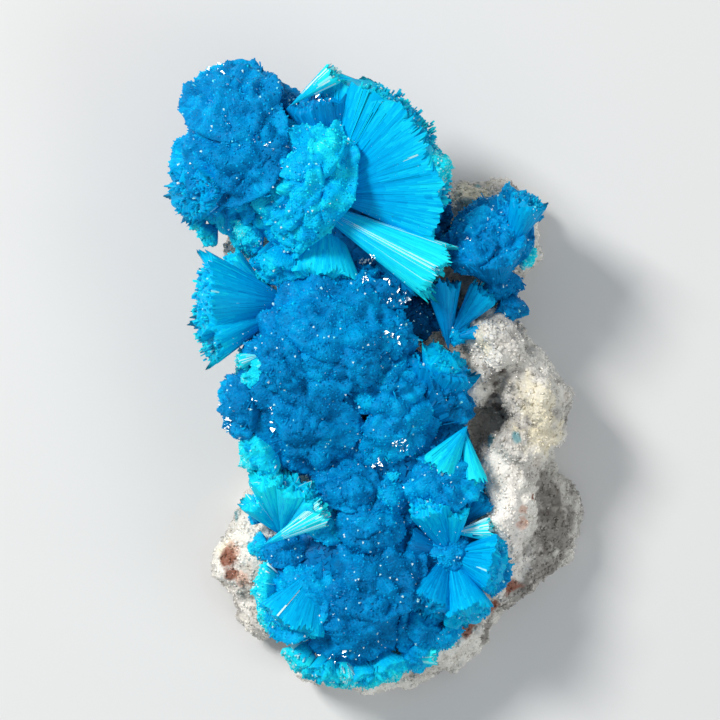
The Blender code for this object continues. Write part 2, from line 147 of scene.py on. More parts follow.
WHITE_GRAIN = (0.86, 0.83, 0.76)
GREY_GRAIN = (0.36, 0.34, 0.31)
EARTH = (0.30, 0.22, 0.14)
RAGGED_SHARE = 2.4             # how ragged a patch is, as a share of its radius
EDGE_SHARE = 0.5               # and how wide its soft edge is
PATCH_LAYERS = [  # colour, strength, and the place and radius of each patch in millimetres
    # bright druse
    ((0.96, 0.91, 0.84), 0.8, [
        ((11.8, -9.0), 2.4), ((12.8, -13.0), 2.6), ((14.0, -17.0), 2.4), ((14.4, -19.0), 2.0),
        ((-14.6, -24.0), 2.6), ((-13.4, -27.5), 2.2), ((-15.0, -20.5), 1.6), ((-7.0, -31.0), 2.2),
        ((-1.0, -32.0), 1.8)]),
    # painted shade on the lower outer layer, over its own dark grey-brown druse
    ((0.17, 0.15, 0.13), 0.75, [
        ((17.4, -12.0), 2.6), ((18.4, -15.6), 3.4), ((17.4, -19.6), 3.2), ((14.8, -22.8), 2.8),
        ((11.0, -26.0), 2.0), ((12.0, 0.2), 1.6), ((9.2, 18.4), 2.0)]),
    # cream lumps
    ((0.88, 0.80, 0.60), 0.75, [
        ((16.3, -2.6), 3.4), ((17.3, -5.8), 2.8), ((10.4, 3.6), 1.6), ((9.5, 18.9), 2.6),
        ((-15.4, -17.4), 1.6)]),
    # salmon stains
    ((0.72, 0.44, 0.33), 0.75, [
        ((14.8, -13.2), 0.7), ((14.7, -14.6), 0.8), ((-14.4, -17.6), 1.2), ((-13.6, -20.6), 1.0)]),
    # bare basalt
    ((0.30, 0.10, 0.055), 0.95, [
        ((-15.3, -18.6), 1.3), ((-15.0, -20.0), 0.9), ((13.6, -21.2), 1.1), ((11.6, -23.4), 1.3),
        ((9.0, -25.6), 1.2), ((15.8, -11.9), 0.6)]),
    # teal stains
    ((0.02, 0.28, 0.34), 0.7, [
        ((11.6, -6.3), 0.9), ((14.1, -6.0), 0.6), ((-14.6, -14.0), 0.8), ((8.9, 5.8), 1.3),
        ((10.4, 19.4), 0.5)]),
    # painted shade in the crevice between the grey and the cream lumps
    ((0.06, 0.045, 0.04), 0.85, [
        ((12.6, 0.6), 0.6), ((12.1, -0.6), 0.6), ((11.9, -1.8), 0.7), ((12.3, -3.0), 0.6),
        ((13.0, -4.0), 0.5)]),
]

rock = linked("drusy_matrix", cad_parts["matrix"].data.copy())
rock.data.materials.clear()
weld = rock.modifiers.new("weld", "WELD")
weld.merge_threshold = 0.01 * MM
remesh = rock.modifiers.new("remesh", "REMESH")
remesh.mode = "VOXEL"
remesh.voxel_size = ROCK_GRAIN
smooth = rock.modifiers.new("smooth", "SMOOTH")
smooth.iterations = ROCK_SMOOTHING
for pattern, size, height in ROCK_RELIEF:
    texture = bpy.data.textures.new("rock_" + pattern.lower(), pattern)
    texture.noise_scale = size
    if pattern == "CLOUDS":
        texture.noise_depth = CLOUD_DEPTH
    push = rock.modifiers.new("push", "DISPLACE")
    push.texture = texture
    push.texture_coords = "LOCAL"
    push.strength = height
    push.mid_level = 0.5
deselect_all()
bpy.context.view_layer.objects.active = rock
rock.select_set(True)
for step in list(rock.modifiers):
    bpy.ops.object.modifier_apply(modifier=step.name)
for vert in rock.data.vertices:
    vert.co.z = max(vert.co.z, 0.0)
rock.data.shade_smooth()
bpy.context.view_layer.update()


def add_node(tree, kind, inputs, **settings):
    """Add a shader node with its settings and inputs."""
    node = tree.nodes.new("ShaderNode" + kind)
    for name, value in settings.items():
        setattr(node, name, value)
    fill_inputs(tree, node, inputs)
    return node


def reckon(tree, operation, *terms):
    """The output of a Math node on numbers and outputs."""
    return add_node(tree, "Math", dict(enumerate(terms)), operation=operation).outputs[0]


def new_group(name, **inputs):
    """A shader node group that puts out a mask: its tree, its start and its end."""
    group = bpy.data.node_groups.new(name, "ShaderNodeTree")
    for title, value in inputs.items():
        kind = "NodeSocketVector" if isinstance(value, tuple) else "NodeSocketFloat"
        socket = group.interface.new_socket(name=title, in_out="INPUT", socket_type=kind)
        socket.default_value = value
    group.interface.new_socket(name="Mask", in_out="OUTPUT", socket_type="NodeSocketFloat")
    return group, group.nodes.new("NodeGroupInput"), group.nodes.new("NodeGroupOutput")


def blotch_group():
    """A mask of blotches: their scale and the two limits of the noise in, 0 to 1 out."""
    group, start, end = new_group("blotches", Scale=500.0, From=0.45, To=0.6)
    place = add_node(group, "TexCoord", {})
    pattern = add_node(group, "TexNoise", {
        "Vector": place.outputs["Object"], "Scale": start.outputs["Scale"], "Detail": 4.0})
    limit = add_node(group, "MapRange", {
        "Value": pattern.outputs["Fac"], "From Min": start.outputs["From"],
        "From Max": start.outputs["To"]})
    fill_inputs(group, end, {"Mask": limit.outputs["Result"]})
    return group


def patch_group():
    """A ragged round patch: middle, radius, raggedness and soft edge in, 0 to 1 out."""
    group, start, end = new_group(
        "patch", Middle=(0.0, 0.0, 0.0), Radius=2.0 * MM, Ragged=1.0 * MM, Edge=0.5 * MM)
    place = add_node(group, "TexCoord", {}).outputs["Object"]
    pattern = add_node(group, "TexNoise", {"Vector": place, "Scale": 700.0, "Detail": 5.0})
    wobble = reckon(group, "SUBTRACT", pattern.outputs["Fac"], 0.5)
    reach = reckon(group, "MULTIPLY_ADD", wobble, start.outputs["Ragged"], start.outputs["Radius"])
    apart = add_node(group, "VectorMath", {0: place, 1: start.outputs["Middle"]},
                     operation="DISTANCE")
    near = reckon(group, "SUBTRACT", reach, apart.outputs["Value"])
    limit = add_node(group, "MapRange", {"Value": near, "From Max": start.outputs["Edge"]})
    fill_inputs(group, end, {"Mask": limit.outputs["Result"]})
    return group


def add_mask(tree, group, **values):
    """Put a node group in a material with its own values, and return its mask."""
    return add_node(tree, "Group", values, node_tree=group).outputs["Mask"]


def blend_colour(tree, mask, below, above, most=1.0):
    """Lay one colour over another through a mask; each is a colour or an output."""
    if most < 1.0:
        mask = reckon(tree, "MULTIPLY", mask, most)
    mix = add_node(tree, "Mix", {"Factor": mask, "A": below, "B": above}, data_type="RGBA")
    return mix.outputs["Result"]


def at(x, y, z):
    """A place given in millimetres, in metres of the frame."""
    return ((x - BOX_MIDDLE[0]) * MM, (y - BOX_MIDDLE[1]) * MM, z * MM)


def rock_top(x, y):
    """The rock's surface over a place in millimetres."""
    found, place, normal, face = rock.ray_cast(Vector(at(x, y, OVERHEAD)), DOWN)
    return place if found else Vector(at(x, y, 5.0))


def rock_look(name, brightness, gloss_low, gloss_high):
    """Drusy rock: grains of white and grey under the patches of other minerals."""
    material, tree, shader = new_look(name)
    broad = add_mask(tree, BLOTCHES, Scale=210.0, From=0.40, To=0.60)
    fine = add_mask(tree, BLOTCHES, Scale=1500.0, From=0.38, To=0.66)
    dirt = add_mask(tree, BLOTCHES, Scale=420.0, From=0.56, To=0.70)
    white = tuple(value * brightness for value in WHITE_GRAIN)
    colour = blend_colour(tree, broad, GREY_GRAIN, white)
    colour = blend_colour(tree, fine, colour, white, most=0.6)
    colour = blend_colour(tree, dirt, colour, EARTH, most=0.35)
    for tint, most, patches in PATCH_LAYERS:
        for middle, radius in patches:
            mask = add_mask(tree, PATCH, Middle=rock_top(*middle), Radius=radius * MM,
                            Ragged=radius * RAGGED_SHARE * MM, Edge=radius * EDGE_SHARE * MM)
            colour = blend_colour(tree, mask, colour, tint, most=most)
    gloss = add_node(tree, "MapRange", {"Value": fine, "To Min": gloss_high, "To Max": gloss_low})
    place = add_node(tree, "TexCoord", {})
    sugar = add_node(tree, "TexVoronoi", {"Vector": place.outputs["Object"], "Scale": 3400.0})
    bump = add_node(tree, "Bump", {
        "Strength": 0.85, "Distance": 0.12 * MM, "Height": sugar.outputs["Distance"]})
    fill_inputs(tree, shader, {
        "Base Color": colour, "Roughness": gloss.outputs["Result"],
        "Normal": bump.outputs["Normal"]})
    return material


def finish_piece(piece, look, node):
    """Give a piece its material, and say what it rides on and what it replaces."""
    piece.data.materials.append(look)
    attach(piece, "root")
    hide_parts(node)


BLOTCHES = blotch_group()
PATCH = patch_group()
finish_piece(rock, rock_look("drusy_rock", 1.0, 0.28, 0.62), "matrix")


# The druse. Sugar-like grains of clear and white crystal that cover the whole matrix, each a
# small blunt double pyramid grown half out of the rock.
GRAIN_COUNT = 8000
GRAIN_SIZE = (0.11 * MM, 0.26 * MM)
GRAIN_STRETCH = (1.0, 0.85, 1.3)
COARSE_SHARE = 0.1             # the share of grains that are half as large again
LOWEST_GRAIN = 0.5 * MM
STEEPEST_FACE = -0.55          # the rock that faces further down than this bears no grains

rng = np.random.default_rng(21)

deselect_all()
bpy.ops.mesh.primitive_ico_sphere_add(subdivisions=1, radius=1.0)
bpy.ops.object.mode_set(mode="EDIT")
bpy.ops.mesh.select_all(action="SELECT")
bpy.ops.mesh.decimate(ratio=0.6)
bpy.ops.transform.resize(value=GRAIN_STRETCH)
bpy.ops.object.mode_set(mode="OBJECT")
seed_grain = bpy.context.object


def shape_of(thing):
    """Points, corner indexes and face sizes of a modelled seed, which is then removed."""
    points = np.array([vert.co for vert in thing.data.vertices])
    corners = np.array([index for face in thing.data.polygons for index in face.vertices])
    sizes = np.array([len(face.vertices) for face in thing.data.polygons])
    bpy.data.objects.remove(thing, do_unlink=True)
    return points, corners, sizes


def joined_mesh(name, points, corners, sizes):
    """One mesh from copies of a seed: points is (copies, points of the seed, 3)."""
    copies = len(points)
    all_corners = corners[None, :] + (np.arange(copies) * points.shape[1])[:, None]
    all_sizes = np.tile(sizes, copies)
    starts = np.concatenate([[0], np.cumsum(all_sizes)[:-1]])
    mesh = bpy.data.meshes.new(name)
    mesh.vertices.add(copies * points.shape[1])
    mesh.vertices.foreach_set("co", points.reshape(-1).astype(np.float32))
    mesh.loops.add(all_corners.size)
    mesh.loops.foreach_set("vertex_index", all_corners.reshape(-1).astype(np.int32))
    mesh.polygons.add(len(all_sizes))
    mesh.polygons.foreach_set("loop_start", starts.astype(np.int32))
    mesh.update(calc_edges=True)
    return mesh


grain_points, grain_corners, grain_sizes = shape_of(seed_grain)
rock_area = np.array([face.area for face in rock.data.polygons])
rock_middle = np.array([face.center for face in rock.data.polygons])
rock_normal = np.array([face.normal for face in rock.data.polygons])
showing = (rock_normal[:, 2] > STEEPEST_FACE) & (rock_middle[:, 2] > LOWEST_GRAIN)
chance = rock_area * showing
picked = rng.choice(len(chance), GRAIN_COUNT, replace=False, p=chance / chance.sum())
turns = np.linalg.qr(rng.normal(size=(GRAIN_COUNT, 3, 3)))[0]
turns[np.linalg.det(turns) < 0, :, 0] *= -1.0
scales = rng.uniform(*GRAIN_SIZE, GRAIN_COUNT)
scales *= rng.choice([1.0, 1.5], GRAIN_COUNT, p=[1.0 - COARSE_SHARE, COARSE_SHARE])
grain_places = np.einsum("pj,nij->npi", grain_points, turns) * scales[:, None, None]
grain_places += rock_middle[picked][:, None, :]
grain_places[:, :, 2] = np.maximum(grain_places[:, :, 2], 0.0)
druse_mesh = joined_mesh("druse_grains", grain_places, grain_corners, grain_sizes)
druse = linked("druse_grains", druse_mesh)
finish_piece(druse, rock_look("druse_grain", 1.12, 0.08, 0.2), "matrix")


# The crown, the upper left mass. Each spray is a ball or cone of thin blue crystals that grew
# outwards from one root, in bundles that end in a wedge. They stand so close that their ends
# make a velvet skin. The places and sizes of the sprays are those of the solid model.
CAP_END = 117.0                # degrees from a spray's axis to where its skin ends
ROOT_BACK = 0.14
CAP_SWELL = 0.13
SWELL_PITCH = 2.3
LEAF_SHARE = 0.86              # the share of a fan's round that its standing crystals keep to
WEDGE_PITCH = 0.92 * MM        # from one wedge of grown-together crystals to the next
WEDGE_WIDTH = (0.75 * MM, 1.9 * MM)
WEDGE_RISE = (0.05 * MM, 0.6 * MM)    # how far wedges stand out of the skin
WEDGE_LENGTH = 2.4 * MM
WEDGE_THICKNESS = 0.36         # as a share of its width
WEDGE_GROOVE = 0.62            # how thick it still is in the grooves
WEDGE_NARROWING = 0.35         # how much narrower it is drawn than its width says
TIP_PITCH = 0.43 * MM          # from one crystal end to the next
TIP_WIDTH = (0.15 * MM, 0.27 * MM)
TIP_RISE = (0.0, 0.15 * MM)    # how far crystal ends stand out of the skin
TIP_LENGTH = (0.5 * MM, 0.9 * MM)
FEWEST_TIPS, TIP_SCATTER = 24, 0.4       # the scatter is a share of the pitch
FEWEST_WEDGES, WEDGE_SCATTER = 8, 0.35
SPLAY = 0.16                   # how unevenly crystals point
FAN_TIP_SPLAY, FAN_WEDGE_SPLAY = 0.05, 0.04    # and how unevenly on a fan
BUNDLE_LEAN = 0.45             # how far a crystal leans the way of its bundle
SMALL_REACH = 3.5 * MM         # a spray under this has wedges that are SMALL_WEDGE as wide
SMALL_WEDGE = 0.7
WHITE_TIPS, WHITE_WEDGES, WHITE_FACE_LATHS = 0.035, 0.004, 0.012    # shares painted white as painted highlights
FINER_AREAS = (45, 420)        # square millimetres of skin, from where a form is made finer
DOME_INSET = 0.12 * MM         # how deep the closed form lies under the crystal ends
RAMP_SHARE = 0.85              # the share of the colour ramp below its white end
GRAIN_PITCH = 1.6              # grains per millimetre of skin
GRAIN_HEIGHT = 0.05 * MM
STREAK_PITCH = 1.0
STREAK_HEIGHT = 0.13 * MM
RIM_TONE = 0.16                # how much paler the thin rims are, where light shines through
COMB_DRAWN = 0.22              # how drawn out the combed streaks are
RELIEF_SHADE = 0.10             # painted shade and light: how much paler the proud bundles are painted than the sunken ones
BUNDLE_PITCH = 2.0 * MM        # from one bundle of crystals to the next
BUNDLE_RISE = 0.15 * MM        # how unevenly the bundles stand out
BUNDLE_CREST = 0.15 * MM
BUNDLE_SLOPE = (0.1, 0.34)     # along and across a bundle's wedge
CREVICE_DEPTH = 0.32 * MM
CREVICE_PITCH = 0.27 / MM
LEAF_WIDTH = 27                # degrees: a narrower spray is a fan with streaked flat faces,
LEAF_DEPTH = 24                # and so is a flatter one
TOP_RELIEF = 0.5               # the share of the relief left where a skin faces up
LOWEST_POINT = 0.3 * MM        # how near to the table crystals grow
LOWEST_SHADE = 0.25            # the least that a crystal's shading faces up
CULL_DEPTH = 1.0 * MM          # crystal ends deeper than this in a solid are left out


def model_crystal(corners, thickness):
    """A crystal of unit width and length with a flat end, without its hidden root face."""
    deselect_all()
    bpy.ops.mesh.primitive_cylinder_add(vertices=corners, radius=0.5, depth=1.0, end_fill_type="NGON")
    bpy.ops.object.mode_set(mode="EDIT")
    bpy.ops.mesh.select_all(action="SELECT")
    bpy.ops.transform.resize(value=(1.0, thickness, 1.0))
    bpy.ops.mesh.select_all(action="DESELECT")
    bpy.ops.object.mode_set(mode="OBJECT")
    thing = bpy.context.object
    for face in thing.data.polygons:
        face.select = face.normal.z < -0.5
    bpy.ops.object.mode_set(mode="EDIT")
    bpy.ops.mesh.delete(type="ONLY_FACE")
    bpy.ops.object.mode_set(mode="OBJECT")
    return thing


def model_wedge(corners):
    """Crystals grown side by side in a flat wedge, with grooves where they meet."""
    deselect_all()
    bpy.ops.mesh.primitive_cylinder_add(vertices=corners, radius=0.5, depth=1.0, end_fill_type="TRIFAN")
    bpy.ops.object.mode_set(mode="EDIT")
    bpy.ops.mesh.select_all(action="DESELECT")
    bpy.ops.object.mode_set(mode="OBJECT")
    thing = bpy.context.object
    for vert in thing.data.vertices:
        vert.select = vert.co.z < 0.3 and math.hypot(vert.co.x, vert.co.y) < 0.1
    bpy.ops.object.mode_set(mode="EDIT")
    bpy.ops.mesh.delete(type="VERT")
    bpy.ops.object.mode_set(mode="OBJECT")
    for index, vert in enumerate(thing.data.vertices):
        vert.co.y *= WEDGE_THICKNESS * (1.0 if index % 4 < 2 else WEDGE_GROOVE)
        vert.co.x *= WEDGE_NARROWING
        vert.co.y *= WEDGE_NARROWING
    return thing


class Seed:
    """A modelled crystal's points and faces, which are at its end, and each corner's painted root shade."""

    def __init__(self, thing):
        tip_faces = [face.normal.z > 0.3 for face in thing.data.polygons]
        self.points, self.corners, self.sizes = shape_of(thing)
        self.at_end = self.points[:, 2] > 0.3
        on_tip = np.repeat(tip_faces, self.sizes)
        # painted shade: full on the end face, less on the sides near it, darkest at the root
        self.unshaded_share = np.where(on_tip, 1.0, np.where(self.at_end[self.corners], 0.85, 0.0))


NEEDLE = Seed(model_crystal(3, 1.0))
LATH = Seed(model_crystal(4, 0.4))
LATH.unshaded_share[:] = 1.0        # a lath shows along its whole length, so it gets no painted root shade
WEDGE = Seed(model_wedge(10))


def cap_places(count, spread, depth):
    """Evenly spaced places on an elliptic cap: share of the way to its rim, angle around."""
    mean = math.radians(math.sqrt(spread * depth))
    order = (np.arange(count) + 0.5) / count
    share = np.arccos(1.0 - order * (1.0 - math.cos(mean))) / mean
    turn = np.arange(count) * math.pi * (3.0 - math.sqrt(5.0))
    return share, np.arctan2(share * np.sin(turn) * depth, share * np.cos(turn) * spread)


def cone_width(around, spread, depth):
    """Half angle of a spray's elliptic cone in the direction around its axis."""
    across, along = np.cos(around) / math.radians(spread), np.sin(around) / math.radians(depth)
    return 1.0 / np.hypot(across, along)


def polar(lean, around):
    """Directions in a spray's own axes from the angle off its axis and the angle around it."""
    flat = np.sin(lean)
    return np.stack([flat * np.cos(around), flat * np.sin(around), np.cos(lean)], axis=1)


def noise_at(points):
    """Smooth noise between about -1 and 1 at each point."""
    return np.array([noise.noise(point) for point in points])


def swells(from_axis, around, place):
    """The share by which a cap swells out or sinks in each direction."""
    return noise_at(polar(from_axis, around) * SWELL_PITCH + np.array(place)) * CAP_SWELL


def spray_axes(heading, rise):
    """A spray's side, lift and axis directions as rows."""
    turn, tilt = math.radians(heading), math.radians(rise)
    axis = np.array([math.cos(tilt) * math.cos(turn), math.cos(tilt) * math.sin(turn), math.sin(tilt)])
    side = np.array([-math.sin(turn), math.cos(turn), 0.0])
    return np.stack([side, np.cross(axis, side), axis])


def unit(vectors):
    """Vectors made one unit long."""
    return vectors / np.linalg.norm(vectors, axis=-1, keepdims=True)


def solid_tree(name):
    """A CAD node's surface, ready to be searched for the point nearest to another."""
    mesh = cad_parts[name].data
    return BVHTree.FromPolygons([vert.co for vert in mesh.vertices],
                                [tuple(face.vertices) for face in mesh.polygons])


BALLS = []                     # from the coarsest to the finest
for level in (4, 5, 6):
    deselect_all()
    bpy.ops.mesh.primitive_ico_sphere_add(subdivisions=level, radius=1.0)
    BALLS.append(shape_of(bpy.context.object))

SOLIDS = [solid_tree(name) for name in (
    "cavansite", "cavansite_north_east", "cavansite_blades", "matrix")]
SKY = Vector((0.12, 0.05, 1.0)).normalized()


def showing_ends(ends):
    """Which crystal ends are not hidden inside the intergrown sprays or the rock."""
    keep = ends[:, 2] > LOWEST_POINT
    for index in np.nonzero(keep)[0]:
        end = Vector(ends[index])
        for tree in SOLIDS:
            normal = tree.ray_cast(end, SKY)[1]
            if normal and normal.dot(SKY) > 0.0 and tree.find_nearest(end)[3] > CULL_DEPTH:
                keep[index] = False
                break
    return keep


WHITE_STREAKS = 0.38           # the share painted white as painted highlights in a spray paler than PALE_TONE
PALE_TONE = 0.94


def painted(own_tone, tone, white):
    """Each crystal's place on the colour ramp; a few are painted white as painted highlights."""
    ramp = np.clip(own_tone, 0.01, 1.0) * RAMP_SHARE
    clear = rng.random(len(ramp)) < (WHITE_STREAKS if tone > PALE_TONE else white)
    ramp[clear] = rng.uniform(0.88, 1.0, clear.sum())
    return ramp


class Spray:
    """One row of a table: its measures, and the bundles that its crystals end in."""

    def __init__(self, row):
        self.place, reach, heading, rise, self.spread, self.depth, self.tone = row
        mean = math.sqrt(self.spread * self.depth)
        self.leaf = mean < LEAF_WIDTH or self.depth <= LEAF_DEPTH
        self.reach = reach * MM
        self.middle = np.array(at(*self.place))
        self.axes = spray_axes(heading, rise)
        self.mean = math.radians(mean)
        widest = math.radians(max(self.spread, self.depth))
        self.back = self.reach * (ROOT_BACK + max(0.0, -math.cos(widest)))
        self.area = 2.0 * math.pi * self.reach ** 2 * (1.0 - math.cos(min(self.mean, math.pi)))
        count = max(6, int(self.area / BUNDLE_PITCH ** 2))
        share, around = cap_places(count, self.spread, self.depth)
        way = polar(cone_width(around, self.spread, self.depth) * share, around)
        self.way = unit(way + rng.normal(0.0, 0.3 * BUNDLE_PITCH / self.reach, way.shape))
        self.ridge = unit(np.cross(self.way, rng.normal(size=way.shape)))
        self.across = np.cross(self.way, self.ridge)
        self.rise = rng.normal(0.0, BUNDLE_RISE, count)
        self.tones = rng.normal(0.0, 0.06, count)

    def scatter(self, pitch, least, loose):
        """Places over the skin about a pitch apart: their rim shares and angles."""
        count = max(least, int(self.area / pitch ** 2))
        share, around = cap_places(count, self.spread, self.depth)
        shake = loose * pitch / self.reach / self.mean
        share = np.clip(np.abs(share + rng.normal(0.0, shake, count)), 0.0, 1.0)
        share *= LEAF_SHARE if self.leaf else 1.0
        around += rng.normal(0.0, shake, count) / np.maximum(share, 0.1)
        return share, around

    def surface(self, share, around):
        """Direction, nearest bundle, tone and length of the skin, rim share and angle given."""
        way = polar(cone_width(around, self.spread, self.depth) * share, around)
        nearest = np.argmax(way @ self.way.T, axis=1)
        apart = (way - self.way[nearest]) * self.reach
        along_ridge = np.abs(np.sum(apart * self.ridge[nearest], axis=1))
        off_ridge = np.abs(np.sum(apart * self.across[nearest], axis=1))
        relief = self.rise[nearest] + BUNDLE_CREST
        relief = relief - BUNDLE_SLOPE[0] * along_ridge - BUNDLE_SLOPE[1] * off_ridge
        world_way = way @ self.axes
        relief *= TOP_RELIEF + (1.0 - TOP_RELIEF) * (1.0 - np.clip(world_way[:, 2], 0.0, 1.0)) ** 0.7
        crevice = np.abs(noise_at((world_way * self.reach + self.middle) * CREVICE_PITCH))
        relief -= CREVICE_DEPTH * np.clip(1.0 - crevice / 0.09, 0.0, 1.0)
        swell = swells(np.clip(share, 0.0, 1.0) * math.radians(CAP_END), around, self.place)
        # painted shade and light: sunken bundles darker, proud ones paler, thin rims paler still for light
        # shining through
        tone = self.tone + self.tones[nearest] + RELIEF_SHADE * np.clip(relief / (0.4 * MM), -1.5, 1.0)
        tone = tone + RIM_TONE * np.clip((0.4 - world_way[:, 2]) / 0.5, 0.0, 1.0)
        return world_way, nearest, tone, self.reach * (0.985 + swell) + relief


def shading_way(way):
    """The direction that crystals pointing this way are shaded in; none faces the table."""
    return unit(np.stack([way[:, 0], way[:, 1], np.maximum(way[:, 2], LOWEST_SHADE)], axis=1))


def skin_crystals(spray):
    """The crystals whose ends stand out of a spray's skin."""
    places = spray.scatter(TIP_PITCH, FEWEST_TIPS, TIP_SCATTER)
    way, nearest, skin_tone, length = spray.surface(*places)
    count = len(way)
    length = length + rng.uniform(*TIP_RISE, count)
    lean = spray.way[nearest] @ spray.axes
    aim = way if spray.leaf else (1.0 - BUNDLE_LEAN) * way + BUNDLE_LEAN * lean
    aim = unit(aim + rng.normal(0.0, FAN_TIP_SPLAY if spray.leaf else SPLAY, way.shape))
    own_tone = skin_tone + rng.normal(0.05, 0.10, count)
    return {
        "end": way * length[:, None] + spray.middle, "aim": aim,
        "length": np.minimum(length * 0.5, rng.uniform(*TIP_LENGTH, count)),
        "width": rng.uniform(*TIP_WIDTH, count),
        "side": unit(np.cross(aim, rng.normal(size=aim.shape))),
        "tone": painted(own_tone, spray.tone, WHITE_TIPS), "outward": shading_way(way),
    }


def skin_wedges(spray):
    """The wedges of crystals that break up a spray's skin and fray its outline."""
    places = spray.scatter(WEDGE_PITCH, FEWEST_WEDGES, WEDGE_SCATTER)
    way, nearest, skin_tone, length = spray.surface(*places)
    count = len(way)
    length = length + rng.uniform(*WEDGE_RISE, count)
    if spray.leaf:
        across = spray.axes[1] if spray.spread > spray.depth else spray.axes[0]
        aim = unit(way + rng.normal(0.0, FAN_WEDGE_SPLAY, way.shape))
        side = unit(np.cross(across, aim) + rng.normal(0.0, 0.06, aim.shape))
    else:
        aim = unit(way + rng.normal(0.0, SPLAY, way.shape))
        side = rng.normal(size=aim.shape)
    side = unit(side - aim * np.sum(side * aim, axis=1, keepdims=True))
    own_tone = skin_tone + rng.normal(0.03, 0.07, count)
    small = SMALL_WEDGE if spray.reach < SMALL_REACH or spray.leaf else 1.0
    return {
        "end": way * length[:, None] + spray.middle, "aim": aim,
        "length": np.minimum(length * 0.6, WEDGE_LENGTH),
        "width": rng.uniform(*WEDGE_WIDTH, count) * small, "side": side,
        "tone": painted(own_tone, spray.tone, WHITE_WEDGES), "outward": shading_way(way),
    }


def paint(mesh, ramp, unshaded):
    """Store each corner's place on the colour ramp, and how far it is out of the painted depth shade."""
    growth = mesh.uv_layers.new(name="growth")
    uv = np.stack([ramp, unshaded], axis=1)
    growth.data.foreach_set("uv", uv.reshape(-1).astype(np.float32))


def dome_form(name, spray):
    """A spray's closed form: a cap grained like velvet by its crystals' ends, over a cone."""
    finer = sum(spray.area > area * MM * MM for area in FINER_AREAS)
    ball, corners, sizes = BALLS[finer]
    from_axis = np.arccos(np.clip(ball[:, 2], -1.0, 1.0))
    around = np.arctan2(ball[:, 1], ball[:, 0])
    end = math.radians(CAP_END)
    share = np.minimum(1.0, from_axis / end)
    way, nearest, skin_tone, length = spray.surface(share, around)
    spot = way * length[:, None] / MM + np.array(spray.place)
    grain = noise_at(spot * GRAIN_PITCH)
    line = np.stack([np.cos(around), np.sin(around), share * 0.25], axis=1)
    line *= (spray.reach / MM) * STREAK_PITCH
    streak = noise_at(line + np.array(spray.place)) * np.clip(share * 3.0, 0.0, 1.0)
    length = length - DOME_INSET + GRAIN_HEIGHT * grain + STREAK_HEIGHT * streak
    inward = np.maximum(0.0, (from_axis - end) / (math.pi - end))[:, None]
    points = way * length[:, None] * (1.0 - inward) - spray.axes[2] * spray.back * inward
    points += spray.middle
    points[:, 2] = np.maximum(points[:, 2], LOWEST_POINT)
    mesh = joined_mesh(name, points[None, :, :], corners, sizes)
    # painted shade: the hidden cone under each cap is darker
    tone = skin_tone + 0.06 * grain + 0.07 * streak - 0.15 * inward[:, 0]
    paint(mesh, np.clip(tone, 0.02, 1.0)[corners] * RAMP_SHARE, np.ones(len(corners)))
    comb = mesh.attributes.new("comb", "FLOAT_VECTOR", "POINT")
    ring = np.stack([np.cos(around), np.sin(around), share * COMB_DRAWN], axis=1)
    ring *= (spray.reach / MM) * 0.8
    comb.data.foreach_set("vector", (ring + np.array(spray.place)).reshape(-1).astype(np.float32))
    mesh.shade_smooth()
    return mesh


FACE_PITCH = 0.15 * MM         # from one lath to the next on a flat face


def face_laths(spray):
    """The laths that lie along a spray's flat sides, combed outwards from its root."""
    place, reach, axes, tone = spray.place, spray.reach, spray.axes, spray.tone
    count = int(math.pi * reach * math.sin(spray.mean) / FACE_PITCH)
    around = rng.uniform(0.0, 2.0 * math.pi, count)
    width = cone_width(around, spray.spread, spray.depth)
    apex = np.array([[0.0, 0.0, -spray.back]])
    rim_length = reach * (0.99 + swells(np.full(count, math.radians(CAP_END)), around, place))
    deep = polar(width * rng.uniform(0.95, 0.97, count), around) * rim_length[:, None] - apex
    around += rng.normal(0.0, 0.015, count)
    high = polar(width * rng.uniform(0.975, 1.0, count), around) * rim_length[:, None] - apex
    start = np.sqrt(rng.uniform(0.002, 0.55, count))
    finish = np.minimum(start + rng.uniform(0.25, 0.6, count), rng.uniform(0.93, 1.03, count))
    streak = rng.normal(0.0, 0.05, 64)[(around / (2.0 * math.pi) * 64).astype(int) % 64]
    root = (deep * start[:, None] + apex) @ axes + spray.middle
    end = (high * finish[:, None] + apex) @ axes + spray.middle
    aim = unit(end - root)
    tangent = polar(width, around + 0.01) - polar(width, around - 0.01)
    side = unit(np.cross(np.cross(aim, tangent @ axes), aim))
    outward = np.cross(side, aim)
    middle = spray.middle + axes[2] * reach * 0.5
    outward *= np.sign(np.sum(outward * (end - middle), axis=1))[:, None]
    outward[:, 2] = np.maximum(outward[:, 2], LOWEST_SHADE)
    # painted shade and glow: laths that reach further out are paler
    own_tone = tone + streak + rng.normal(0.0, 0.03, count) + 0.3 * (finish - 0.75)
    return {
        "end": end, "aim": aim, "length": np.linalg.norm(end - root, axis=1),
        "width": rng.uniform(0.9, 1.7, count) * FACE_PITCH * 1.3,
        "side": side, "tone": painted(own_tone, tone, WHITE_FACE_LATHS), "outward": unit(outward),
    }


SOFTNESS = 0.62                # how far a crystal's shading turns to that of the whole form


def soften(mesh, seed, points, outward):
    """Turn the shading of each crystal part of the way to that of the form it stands on."""
    first = np.concatenate([[0], np.cumsum(seed.sizes)[:-1]])
    a, b, c = (points[:, seed.corners[first + step]] for step in range(3))
    facing = np.repeat(unit(np.cross(b - a, c - a)), seed.sizes, axis=1)
    soft = unit((1.0 - SOFTNESS) * facing + SOFTNESS * outward[:, None, :])
    mesh.normals_split_custom_set(soft.reshape(-1, 3))


